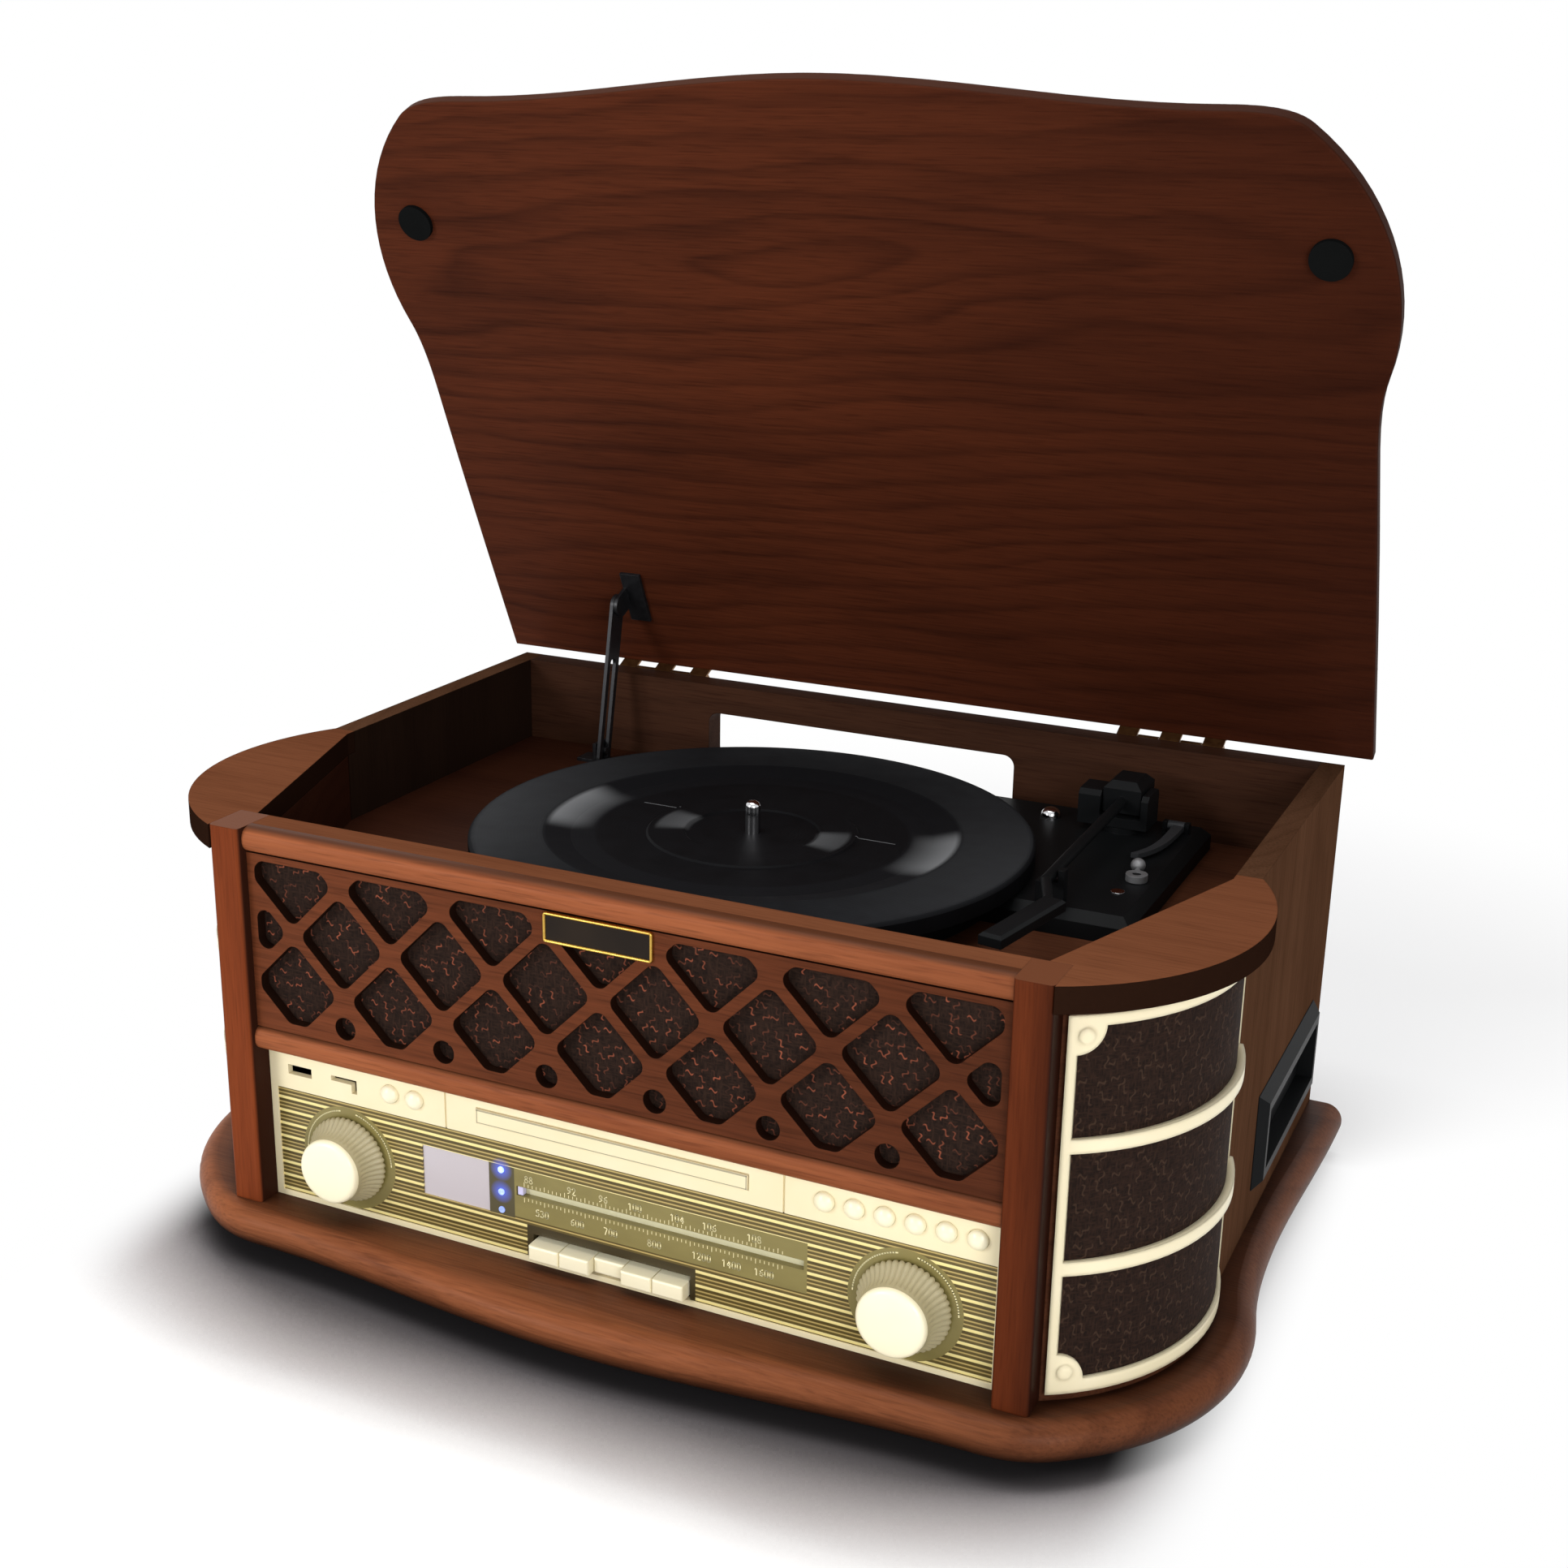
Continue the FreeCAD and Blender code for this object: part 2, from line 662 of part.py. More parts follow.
def well_liner():
    """Board along the slanted right side of the record well, before it is trimmed to its neighbours."""
    slope = math.hypot(WALL_IN - OPENING_FRONT_HALF, OPENING_SIDE_Y - POST_D)
    out_x = LINER_T * (OPENING_SIDE_Y - POST_D) / slope
    out_y = -LINER_T * (WALL_IN - OPENING_FRONT_HALF) / slope
    return plan_prism([
        (OPENING_FRONT_HALF, POST_D), (WALL_IN, OPENING_SIDE_Y),
        (WALL_IN + out_x, OPENING_SIDE_Y + out_y), (OPENING_FRONT_HALF + out_x, POST_D + out_y),
    ], (FLOOR_Z - FLOOR_T, FRAME_Z))


def well_boards():
    """Floor and liners of the record well and the board behind the lattice."""
    front_y = BOARD_FRONT + FRONT_BOARD_T
    floor = well_block((FLOOR_Z - FLOOR_T, FLOOR_Z))
    strip = box((-INNER_HALF, INNER_HALF), (front_y, POST_D), (FLOOR_Z - FLOOR_T, FLOOR_Z))
    motor = motor_place()
    below = (FLOOR_Z - FLOOR_T - 1, FLOOR_Z + 1)
    floor = floor.fuse(strip).removeSplitter()
    floor = floor.cut([upright(motor[0], motor[1], below, MOTOR_R + 1), stay_slot(below)])
    liner = well_liner().cut([
        box((INNER_HALF, FRONT_HALF_W), (0, POST_D), (PLINTH_Z, TOP_Z)),
        box((WALL_IN, BODY_HALF_W), (SIDE_FRONT_Y, CABINET_D), (PLINTH_Z, TOP_Z)),
    ])
    board = box((-INNER_HALF, INNER_HALF), (BOARD_FRONT, front_y), (FRET_Z, FRAME_Z))
    return [floor, board] + pair(liner)


def speaker_frame():
    """Curved frame of the right wing with three windows, corner lobes and studs."""
    low, high = SPEAKER_Z
    clear = (low + STRIP_BOTTOM, high - STRIP_TOP)
    inside = SPEAKER_FRONT_TURN - STRIP_SIDE / SPEAKER_R
    inside_x = WING_X + SPEAKER_R * math.cos(inside)
    outside = wing_bounds(SPEAKER_FRONT_X, SIDE_FRONT_Y, SPEAKER_Z)
    skin = ring_sector(SPEAKER_CLOTH_R, SPEAKER_R, SPEAKER_Z).common(outside)
    window = wing_bounds(inside_x, SIDE_FRONT_Y - STRIP_SIDE / 2, clear)
    lobes = []
    studs = []
    for z, into in ((clear[0], 1), (clear[1], -1)):
        along = vec(math.cos(inside), -math.sin(inside), 0)
        lobes.append(Part.makeCylinder(LOBE_R, WING_R, vec(WING_X, WING_Y, z), along))
        turned = inside - STUD_IN / SPEAKER_R / 2
        along = vec(math.cos(turned), -math.sin(turned), 0)
        foot = vec(WING_X, WING_Y, z + into * STUD_IN / 2) + along * (SPEAKER_R - SPEAKER_FRAME_T / 2)
        stud = Part.makeCylinder(STUD_R, SPEAKER_FRAME_T / 2 + STUD_PROUD, foot, along)
        studs.append(stud.makeFillet(STUD_PROUD * 0.9, [stud.Edges[0]]))
    frame = skin.cut(window.cut(lobes))
    pitch = (clear[1] - clear[0] - 2 * BAR_H) / 3 + BAR_H
    # The bars lie flush beside the post and stand proud towards the side wall.
    lean = (BAR_PROUD * math.sin(SPEAKER_FRONT_TURN), BAR_PROUD * math.cos(SPEAKER_FRONT_TURN))
    bars = []
    for count in (1, 2):
        z = clear[0] + count * pitch - BAR_H
        span = (z, z + BAR_H)
        bar = upright(WING_X + lean[0], WING_Y + lean[1], span, SPEAKER_R)
        bar = bar.cut(upright(WING_X, WING_Y, span, SPEAKER_CLOTH_R))
        bars.append(bar.common(wing_bounds(inside_x, SIDE_FRONT_Y, span)))
    return frame.fuse(bars + studs).removeSplitter()


def speaker_baffle():
    """Curved board of the right wing that carries the driver."""
    z = (PLINTH_Z, FRAME_Z)
    board = ring_sector(BAFFLE_R - BAFFLE_T, BAFFLE_R, z).common(wing_bounds(FRONT_HALF_W, SIDE_FRONT_Y, z))
    along = vec(math.cos(DRIVER_TURN), math.sin(DRIVER_TURN), 0)
    hole = Part.makeCylinder(DRIVER_HOLE_R, WING_R, vec(WING_X, WING_Y, (z[0] + z[1]) / 2), along)
    return board.cut([hole, well_liner(), well_block((FLOOR_Z - FLOOR_T, FRAME_Z))])


def speaker_driver():
    """Loudspeaker behind the right baffle: flange, cone and magnet."""
    along = vec(math.cos(DRIVER_TURN), math.sin(DRIVER_TURN), 0)
    seat = math.sqrt((BAFFLE_R - BAFFLE_T) ** 2 - DRIVER_R ** 2)
    foot = vec(WING_X, WING_Y, (PLINTH_Z + FRAME_Z) / 2)
    flange = Part.makeCylinder(DRIVER_R, 3, foot + along * (seat - 3), along)
    cone_depth = DRIVER_DEPTH - MAGNET_H
    cone = Part.makeCone(MAGNET_R * 0.8, DRIVER_HOLE_R, cone_depth,
                         foot + along * (seat - 3 - cone_depth), along)
    hollow = Part.makeCone(MAGNET_R * 0.5, DRIVER_HOLE_R - 1, cone_depth,
                           foot + along * (seat - cone_depth), along)
    magnet = Part.makeCylinder(MAGNET_R, MAGNET_H, foot + along * (seat - 3 - DRIVER_DEPTH), along)
    return flange.fuse([cone, magnet]).removeSplitter().cut(hollow)


def track_button_places():
    """Centres of the round buttons, mode buttons first."""
    mode = [MODE_BUTTON_X + count * BUTTON_PITCH for count in range(MODE_BUTTON_COUNT)]
    track = [TRACK_BUTTON_X + count * BUTTON_PITCH for count in range(TRACK_BUTTON_COUNT)]
    return mode, track


def radio_fascia():
    """Cream front panel with openings for the dial, tray, buttons and slots."""
    y = (FASCIA_SET - 1, FASCIA_BACK + 1)
    panel = box((-INNER_HALF, INNER_HALF), (FASCIA_SET, FASCIA_BACK), (PLINTH_Z, FASCIA_Z))
    half = TRAY_FRONT_H / 2 + RUN
    card_top = BUTTON_Z + CARD_UP
    card_right = CARD_X + CARD_SIZE[0] / 2
    cuts = [
        box((-DIAL_HALF_W, DIAL_HALF_W), y, (DIAL_Z, DIAL_TOP)),
        box((-TRAY_HALF_W - RUN, TRAY_HALF_W + RUN), y, (BUTTON_Z - half, BUTTON_Z + half)),
        block(USB_X, USB_SIZE[0], y, (BUTTON_Z - USB_SIZE[1] / 2, BUTTON_Z + USB_SIZE[1] / 2)),
        block(CARD_X, CARD_SIZE[0], y, (card_top - CARD_SIZE[1], card_top)),
        box((card_right - CARD_LEG[0], card_right), y, (card_top - CARD_LEG[1], card_top)),
    ]
    mode, track = track_button_places()
    for x in mode + track:
        cuts.append(deep_bar(x, y, BUTTON_Z, BUTTON_R + PRESS_GAP))
    for x in (-DIVIDER_X, DIVIDER_X):
        cuts.append(block(x, GROOVE, (y[0], FASCIA_SET + GROOVE), (DIAL_TOP, FASCIA_Z + 1)))
    return [panel.cut(cuts)]


def key_places():
    """Centres of the band keys from left to right."""
    return [(count - (KEY_COUNT - 1) / 2) * KEY_PITCH for count in range(KEY_COUNT)]


def dial_plate():
    """Striped plate behind the fascia opening, open for windows, keys and shafts."""
    y = (DIAL_FACE - 1, DIAL_BACK + 1)
    plate = box((-DIAL_HALF_W, DIAL_HALF_W), (DIAL_FACE, DIAL_BACK), (DIAL_Z, DIAL_TOP))
    keys = KEY_COUNT * KEY_PITCH + 2 * KEY_GAP
    cuts = [
        box(DISPLAY_X, y, DISPLAY_Z),
        box(BAND_X, y, BAND_Z),
        block(0, keys, y, (DIAL_Z - 1, DIAL_Z + KEY_RECESS_H)),
    ]
    for z in LENS_Z:
        cuts.append(deep_bar(LENS_X, y, z, LENS_R))
    for x in (-KNOB_X, KNOB_X):
        cuts.append(deep_bar(x, y, KNOB_Z, SHAFT_R + RUN))
    return [plate.cut(cuts)]


def display_windows():
    """Display pane and the pale pane behind the tuning band."""
    display = box(DISPLAY_X, (DIAL_FACE + DISPLAY_SET, DIAL_BACK), DISPLAY_Z)
    band = box((BAND_X[0] - 2, BAND_X[1] + 2), (DIAL_BACK, DIAL_BACK + PANE_T),
               (BAND_Z[0] - 2, BAND_Z[1] + 2))
    return [display, band]


def indicator_lenses():
    """Three small lamps beside the display."""
    return [deep_bar(LENS_X, (DIAL_FACE - LENS_PROUD, DIAL_BACK), z, LENS_R) for z in LENS_Z]


def dial_pointer():
    """Pointer that runs along the tuning band, at the left end of its travel."""
    left = BAND_X[0] + 2 * RUN
    y = (DIAL_FACE + RUN, DIAL_BACK - RUN)
    return [box((left, left + POINTER_W), y, (BAND_Z[0] + RUN, BAND_Z[1] - RUN))]


def knob(x):
    """Round knob with a flared base and its shaft."""
    back = DIAL_FACE - KNOB_GAP
    front = back - KNOB_LENGTH
    waist = back - KNOB_FLARE
    edge = 1.5
    profile = [
        Part.makeLine(vec(0, front, 0), vec(KNOB_FACE_R - edge, front, 0)),
        Part.makeLine(vec(KNOB_FACE_R - edge, front, 0), vec(KNOB_FACE_R, front + edge, 0)),
        Part.makeLine(vec(KNOB_FACE_R, front + edge, 0), vec(KNOB_FACE_R, waist, 0)),
        smooth([(KNOB_FACE_R, waist), (KNOB_BASE_R, back - edge)], (0, 1), (1, 1)),
        Part.makeLine(vec(KNOB_BASE_R, back - edge, 0), vec(KNOB_BASE_R, back, 0)),
        Part.makeLine(vec(KNOB_BASE_R, back, 0), vec(SHAFT_R, back, 0)),
        Part.makeLine(vec(SHAFT_R, back, 0), vec(SHAFT_R, back + SHAFT_LENGTH, 0)),
        Part.makeLine(vec(SHAFT_R, back + SHAFT_LENGTH, 0), vec(0, back + SHAFT_LENGTH, 0)),
        Part.makeLine(vec(0, back + SHAFT_LENGTH, 0), vec(0, front, 0)),
    ]
    solid = Part.Face(Part.Wire(profile)).revolve(vec(0, 0, 0), vec(0, 1, 0), 360)
    solid.translate(vec(x, 0, KNOB_Z))
    return [solid]


def band_key(x, pressed):
    """One band key with its stem, shifted back by the pressed amount."""
    body = block(x, KEY_PITCH - KEY_GAP, (KEY_FRONT, KEY_BACK), (KEY_Z, KEY_Z + KEY_H))
    front = [edge for edge in body.Edges if edge.BoundBox.YMax < KEY_FRONT + 1e-3]
    body = body.makeFillet(0.9, front)
    middle = KEY_Z + KEY_H / 2
    stem = block(x, KEY_STEM[0], (KEY_BACK, PCB_FRONT - RUN),
                 (middle - KEY_STEM[1] / 2, middle + KEY_STEM[1] / 2))
    key = body.fuse(stem).removeSplitter()
    key.translate(vec(0, pressed, 0))
    return [key]


def round_button(x):
    """One round push button."""
    front = FASCIA_SET - BUTTON_PROUD
    cap = deep_bar(x, (front, front + BUTTON_DEPTH), BUTTON_Z, BUTTON_R)
    rim = [edge for edge in cap.Edges if edge.BoundBox.YMax < front + 1e-3]
    return [cap.makeFillet(1.0, rim)]


def cd_tray():
    """Sliding tray with its front and the sunk place for a disc."""
    front = FASCIA_SET - TRAY_PROUD
    low = BUTTON_Z - TRAY_FRONT_H / 2
    face = box((-TRAY_HALF_W, TRAY_HALF_W), (front, FASCIA_BACK + 1), (low, low + TRAY_FRONT_H))
    back = front + TRAY_DEPTH
    plate = box((-TRAY_HALF_W + 2, TRAY_HALF_W - 2), (FASCIA_BACK, back), (low, low + TRAY_PLATE_T))
    disc_y = FASCIA_BACK + 2 + DISC_R
    sink = upright(0, disc_y, (low + TRAY_PLATE_T - DISC_SINK, low + TRAY_FRONT_H), DISC_R)
    hole = upright(0, disc_y, (low - 1, low + TRAY_FRONT_H), DISC_R / 4)
    return [face.fuse(plate).removeSplitter().cut([sink, hole])]


def cd_mechanism():
    """Drive housing behind the tray."""
    half = TRAY_HALF_W + CD_WALL
    low = BUTTON_Z - TRAY_FRONT_H / 2
    z = (low - CD_BELOW, low + TRAY_FRONT_H + CD_ABOVE)
    house = box((-half, half), (DIAL_BACK, DIAL_BACK + CD_DEPTH), z)
    tunnel = box((-TRAY_HALF_W - RUN, TRAY_HALF_W + RUN), (FASCIA_BACK - 1, FASCIA_SET + TRAY_DEPTH + CD_WALL),
                 (low - RUN, low + TRAY_FRONT_H + RUN))
    return [house.cut(tunnel)]


def main_circuit_board():
    """Board behind the dial with the two controls and the key switch bank."""
    y = (PCB_FRONT, PCB_FRONT + BOARD_T)
    low = PLINTH_Z + DIAL_UP
    board = box((-BOARD_HALF_W, BOARD_HALF_W), y, (low, low + BOARD_H))
    keys = KEY_COUNT * KEY_PITCH
    pieces = [block(0, keys, (BANK_FRONT, PCB_FRONT), (low, low + KEY_RECESS_H))]
    for x in (-KNOB_X, KNOB_X):
        pieces.append(deep_bar(x, (DIAL_BACK, PCB_FRONT), KNOB_Z, POT_R))
    board = board.fuse(pieces).removeSplitter()
    cuts = []
    middle = KEY_Z + KEY_H / 2
    for x in key_places():
        cuts.append(block(x, KEY_STEM[0] + 2 * RUN, (BANK_FRONT - 1, y[1] + 1),
                          (middle - KEY_STEM[1] / 2 - RUN, middle + KEY_STEM[1] / 2 + RUN)))
    for x in (-KNOB_X, KNOB_X):
        cuts.append(deep_bar(x, (DIAL_BACK - 1, DIAL_FACE - KNOB_GAP + SHAFT_LENGTH + RUN),
                             KNOB_Z, SHAFT_R + FIT))
    return [board.cut(cuts)]


def power_transformer():
    """Laminated core with its coil, standing on the plinth."""
    x = TRANSFORMER_X
    y = TRANSFORMER_Y
    width, depth, height = TRANSFORMER
    core = block(x, width, (y - depth / 2, y + depth / 2), (PLINTH_Z, PLINTH_Z + height))
    coil_y = (y - depth / 2 + COIL_PROUD, y + depth / 2 - COIL_PROUD)
    coil = block(x, width + 2 * COIL_PROUD, coil_y, (PLINTH_Z + COIL_PROUD, PLINTH_Z + height - COIL_PROUD))
    return [core.fuse(coil).removeSplitter()]


def mains_inlet():
    """Two-pin inlet set in the rear panel."""
    x, z = INLET_AT
    width, height = INLET_SIZE
    lip = INLET_FLANGE
    body = block(x, width, (CABINET_D - INLET_DEPTH, CABINET_D), (z - height / 2, z + height / 2))
    flange = block(x, width + 2 * lip, (CABINET_D, CABINET_D + 2),
                   (z - height / 2 - lip, z + height / 2 + lip))
    well = block(x, width - 6, (CABINET_D - INLET_DEPTH + 6, CABINET_D + 3),
                 (z - height / 2 + 3, z + height / 2 - 3))
    shell = body.fuse(flange).removeSplitter().cut(well)
    pins = []
    for side in (-1, 1):
        pins.append(deep_bar(x + side * INLET_PIN_PITCH / 2, (CABINET_D - INLET_DEPTH + 3, CABINET_D - 1), z,
                             INLET_PIN_R))
    return [shell.fuse(pins).removeSplitter()]


def cassette_tunnel(grow):
    """Block of the cassette passage, used for the bezel and for its opening in the wall."""
    y, z = BEZEL_AT
    half_y = MOUTH[0] / 2 + TUNNEL_T + grow
    half_z = MOUTH[1] / 2 + TUNNEL_T + grow
    x = (BODY_HALF_W - TUNNEL_DEPTH, BODY_HALF_W)
    return box(x, (y - half_y, y + half_y), (z - half_z, z + half_z))


def cassette_bezel():
    """Bevelled frame on the right wall with the passage for a cassette."""
    y, z = BEZEL_AT
    half_y = BEZEL_SIZE[0] / 2
    half_z = BEZEL_SIZE[1] / 2
    face_x = BODY_HALF_W + BEZEL_PROUD
    plate = box((BODY_HALF_W, face_x), (y - half_y, y + half_y), (z - half_z, z + half_z))
    outer = [edge for edge in plate.Edges if edge.BoundBox.XMin > face_x - 1e-3]
    plate = plate.makeChamfer(BEZEL_BEVEL, outer)
    frame = plate.fuse(cassette_tunnel(0)).removeSplitter()
    mouth = box((BODY_HALF_W - TUNNEL_DEPTH - 1, face_x + 1), (y - MOUTH[0] / 2, y + MOUTH[0] / 2),
                (z - MOUTH[1] / 2, z + MOUTH[1] / 2))
    pin = deep_bar(DOOR_AXIS[0], (y - MOUTH[0] / 2 - 2, y + MOUTH[0] / 2 + 2), DOOR_AXIS[1], DOOR_PIN_R + FIT)
    return [frame.cut([mouth, pin])]


def cassette_door():
    """Flap hung in the cassette passage."""
    y = (BEZEL_AT[0] - MOUTH[0] / 2 + RUN, BEZEL_AT[0] + MOUTH[0] / 2 - RUN)
    low = BEZEL_AT[1] - MOUTH[1] / 2 + RUN
    x = DOOR_AXIS[0]
    flap = box((x, x + DOOR_T), y, (low, DOOR_AXIS[1]))
    knuckle = deep_bar(x, y, DOOR_AXIS[1], DOOR_KNUCKLE_R)
    pin = deep_bar(x, (y[0] - 1.8, y[1] + 1.8), DOOR_AXIS[1], DOOR_PIN_R)
    return [flap.fuse([knuckle, pin]).removeSplitter()]


def cassette_mechanism():
    """Cassette drive housing behind the passage."""
    width, depth, height = CASSETTE_BODY
    x1 = BODY_HALF_W - TUNNEL_DEPTH
    y, z = BEZEL_AT
    house = box((x1 - width, x1), (y - depth / 2, y + depth / 2), (z - height / 2, z + height / 2))
    low = z - MOUTH[1] / 2
    room = box((x1 - CASSETTE_SINK, x1 + 1), (y - MOUTH[0] / 2, y + MOUTH[0] / 2), (low, low + CASSETTE_ROOM))
    return [house.cut(room)]


def round_platter(reach, bearing):
    """Plan point at one distance and bearing from the middle of the platter."""
    a = math.radians(bearing)
    return (PLATTER_X + reach * math.cos(a), PLATTER_Y + reach * math.sin(a))


def motor_place():
    """Centre of the drive motor in plan."""
    return round_platter(MOTOR_REACH, MOTOR_BEARING)


def dome_place():
    """Centre of the round-topped screw beside the platter in plan."""
    return round_platter(PLATTER_R + DOME_OUT, DOME_BEARING)


def turntable_deck():
    """Deck moulding with the platter recess, arm base, arm rest, lugs and pivot pins."""
    z = (FLOOR_Z, DECK_TOP)
    right = box(DECK_X, DECK_Y, z)
    rim = [edge for edge in right.Edges
           if edge.BoundBox.ZMin > DECK_TOP - 1e-3 and edge.BoundBox.XMax > DECK_X[0] + 1]
    right = right.makeChamfer(DECK_BEVEL, rim)
    deck = upright(PLATTER_X, PLATTER_Y, z, DECK_R).fuse(right).removeSplitter()
    skin = FLOOR_Z + DECK_SKIN
    boss = upright(PLATTER_X, PLATTER_Y, (skin, FLOOR_Z + PLATTER_UP - PLATTER_SKIRT - 3), BOSS_R)
    deck = deck.cut(upright(PLATTER_X, PLATTER_Y, (skin, DECK_TOP + 1), DECK_RECESS_R))
    arm_top = DECK_TOP + ARM_BASE_H
    rest = ARM_Y - REST_BACK
    rest_z = tube_height(rest) - TUBE_R - 2 * RUN
    rest_y = (rest - REST_D / 2, rest + REST_D / 2)
    prong_x = ARM_X + REST_W / 2
    lever_z = lever_height()
    adds = [
        boss,
        upright(ARM_X, ARM_Y, (DECK_TOP, arm_top), ARM_BASE_R),
        upright(ARM_X, ARM_Y, (arm_top, arm_top + ARM_PIN_H), ARM_PIN_R),
        block(ARM_X, REST_W, rest_y, (DECK_TOP, rest_z)),
        box((prong_x - PRONG_W, prong_x), rest_y, (rest_z, rest_z + PRONG_UP)),
        upright(SELECTOR_AT[0], SELECTOR_AT[1], (DECK_TOP, DECK_TOP + SELECTOR_HUB_H), SELECTOR_PIN_R),
        cross_bar((LEVER_X[0] - LUG_T, LEVER_X[1] + LUG_T), LEVER_Y, lever_z, LEVER_PIN_R),
    ]
    for x in (LEVER_X[0] - RUN - LUG_T, LEVER_X[1] + RUN):
        adds.append(box((x, x + LUG_T), (LEVER_Y - LUG_T, LEVER_Y + LUG_T), (DECK_TOP, lever_z + LUG_T)))
    deck = deck.fuse(adds).removeSplitter()
    motor = motor_place()
    return [deck.cut([
        upright(PLATTER_X, PLATTER_Y, (FLOOR_Z - 1, DECK_TOP), SPINDLE_R),
        upright(motor[0], motor[1], (FLOOR_Z - 1, skin + 1), MOTOR_SHAFT_R + 1),
        upright(*DECK_SCREW_AT, (DECK_TOP - SCREW_H, DECK_TOP + 1), SCREW_R),
        upright(*dome_place(), (DECK_TOP - SCREW_H, DECK_TOP + 1), DOME_R),
    ])]


def platter():
    """Platter with a raised outer ring, a label ring and the belt hub below."""
    top = PLATTER_TOP
    inner = top - SLOPE_DROP
    web = inner - PLATTER_WEB
    hub_low = FLOOR_Z + DECK_SKIN + 2
    boss_low = PLATTER_LOW - 3 + RUN
    points = [
        (SPINDLE_R + FIT, boss_low), (SPINDLE_R + 8, boss_low), (SPINDLE_R + 8, web),
        (HUB_R - HUB_RING, web), (HUB_R - HUB_RING, hub_low), (HUB_R, hub_low), (HUB_R, web),
        (PLATTER_R - 6, web), (PLATTER_R - 6, PLATTER_LOW), (PLATTER_R, PLATTER_LOW),
        (PLATTER_R, top - 1.4), (PLATTER_R - 1.4, top), (SLOPE_R[1], top), (SLOPE_R[0], inner),
        (LABEL_R, inner), (LABEL_R - 1, inner + 0.8), (LABEL_R - 18, inner + 0.8), (LABEL_R - 19, inner),
        (SPINDLE_R + FIT, inner),
    ]
    face = Part.Face(Part.makePolygon([vec(r, 0, z) for r, z in points + points[:1]]))
    solid = face.revolve(vec(0, 0, 0), vec(0, 0, 1), 360)
    solid.translate(vec(PLATTER_X, PLATTER_Y, 0))
    return [solid]


def platter_spindle():
    """Fixed spindle in the deck boss with a rounded tip."""
    pin = upright(PLATTER_X, PLATTER_Y, (FLOOR_Z, FLOOR_Z + SPINDLE_UP), SPINDLE_R)
    tip = [edge for edge in pin.Edges if edge.BoundBox.ZMin > FLOOR_Z + SPINDLE_UP - 1e-3]
    return [pin.makeFillet(SPINDLE_R * 0.8, tip)]


def drive_motor():
    """Motor hung under the deck."""
    x, y = motor_place()
    body = upright(x, y, (FLOOR_Z - MOTOR_H, FLOOR_Z), MOTOR_R)
    return [body.cut(upright(x, y, (FLOOR_Z - MOTOR_H / 2, FLOOR_Z + 1), MOTOR_SHAFT_R + FIT))]


def belt_level():
    """Lower edge of the belt."""
    return FLOOR_Z + DECK_SKIN + 4


def motor_pulley():
    """Pulley on the motor shaft."""
    x, y = motor_place()
    low = belt_level() - (PULLEY_H - BELT_H) / 2
    shaft = upright(x, y, (FLOOR_Z - MOTOR_H / 2 + 1, low + 1), MOTOR_SHAFT_R)
    return [shaft.fuse(upright(x, y, (low, low + PULLEY_H), PULLEY_R)).removeSplitter()]


def belt_loop(grow, z):
    """Solid loop round hub and pulley, grown outwards."""
    x, y = motor_place()
    hub = HUB_R + grow
    pulley = PULLEY_R + grow
    heading = math.radians(MOTOR_BEARING)
    spread = math.acos((hub - pulley) / MOTOR_REACH)
    corners = []
    for cx, cy, radius, side in (
            (PLATTER_X, PLATTER_Y, hub, 1), (x, y, pulley, 1),
            (x, y, pulley, -1), (PLATTER_X, PLATTER_Y, hub, -1)):
        a = heading + side * spread
        corners.append((cx + radius * math.cos(a), cy + radius * math.sin(a)))
    rounds = [upright(PLATTER_X, PLATTER_Y, z, hub), upright(x, y, z, pulley)]
    return plan_prism(corners, z).fuse(rounds).removeSplitter()


def drive_belt():
    """Flat belt between the hub and the pulley."""
    low = belt_level()
    return [belt_loop(RUN + BELT_T, (low, low + BELT_H)).cut(belt_loop(RUN, (low - 1, low + BELT_H + 1)))]


def weight_front():
    """Front of the counterweight block."""
    return ARM_Y - WEIGHT_D / 3


def tube_height(y):
    """Height of the tonearm tube's middle at one place along y."""
    return TRUNNION_Z - TUBE_FALL * (weight_front() - y) / TUBE_LENGTH


def tonearm_gimbal():
    """Turning base of the tonearm with two cheeks."""
    y = (ARM_Y - GIMBAL_D / 2, ARM_Y + GIMBAL_D / 2)
    level = GIMBAL_Z + GIMBAL_BASE_H
    frame = [box(GIMBAL_X, y, (GIMBAL_Z, level))]
    for x in ((GIMBAL_X[0], GIMBAL_X[0] + CHEEK_LEFT_T), (GIMBAL_X[1] - CHEEK_RIGHT_T, GIMBAL_X[1])):
        cheek = box(x, y, (level, level + CHEEK_H))
        top = [edge for edge in cheek.Edges
               if edge.BoundBox.XLength > 1 and edge.BoundBox.ZMin > level + CHEEK_H - 1e-3]
        frame.append(cheek.makeChamfer(CHEEK_H * 0.2, top))
    frame = frame[0].fuse(frame[1:]).removeSplitter()
    pin = upright(ARM_X, ARM_Y, (GIMBAL_Z - 1, level + 1), ARM_PIN_R + FIT)
    trunnion = cross_bar((GIMBAL_X[0] - 1, GIMBAL_X[1] + 1), ARM_Y, TRUNNION_Z, TRUNNION_R + FIT)
    return [frame.cut([pin, trunnion])]


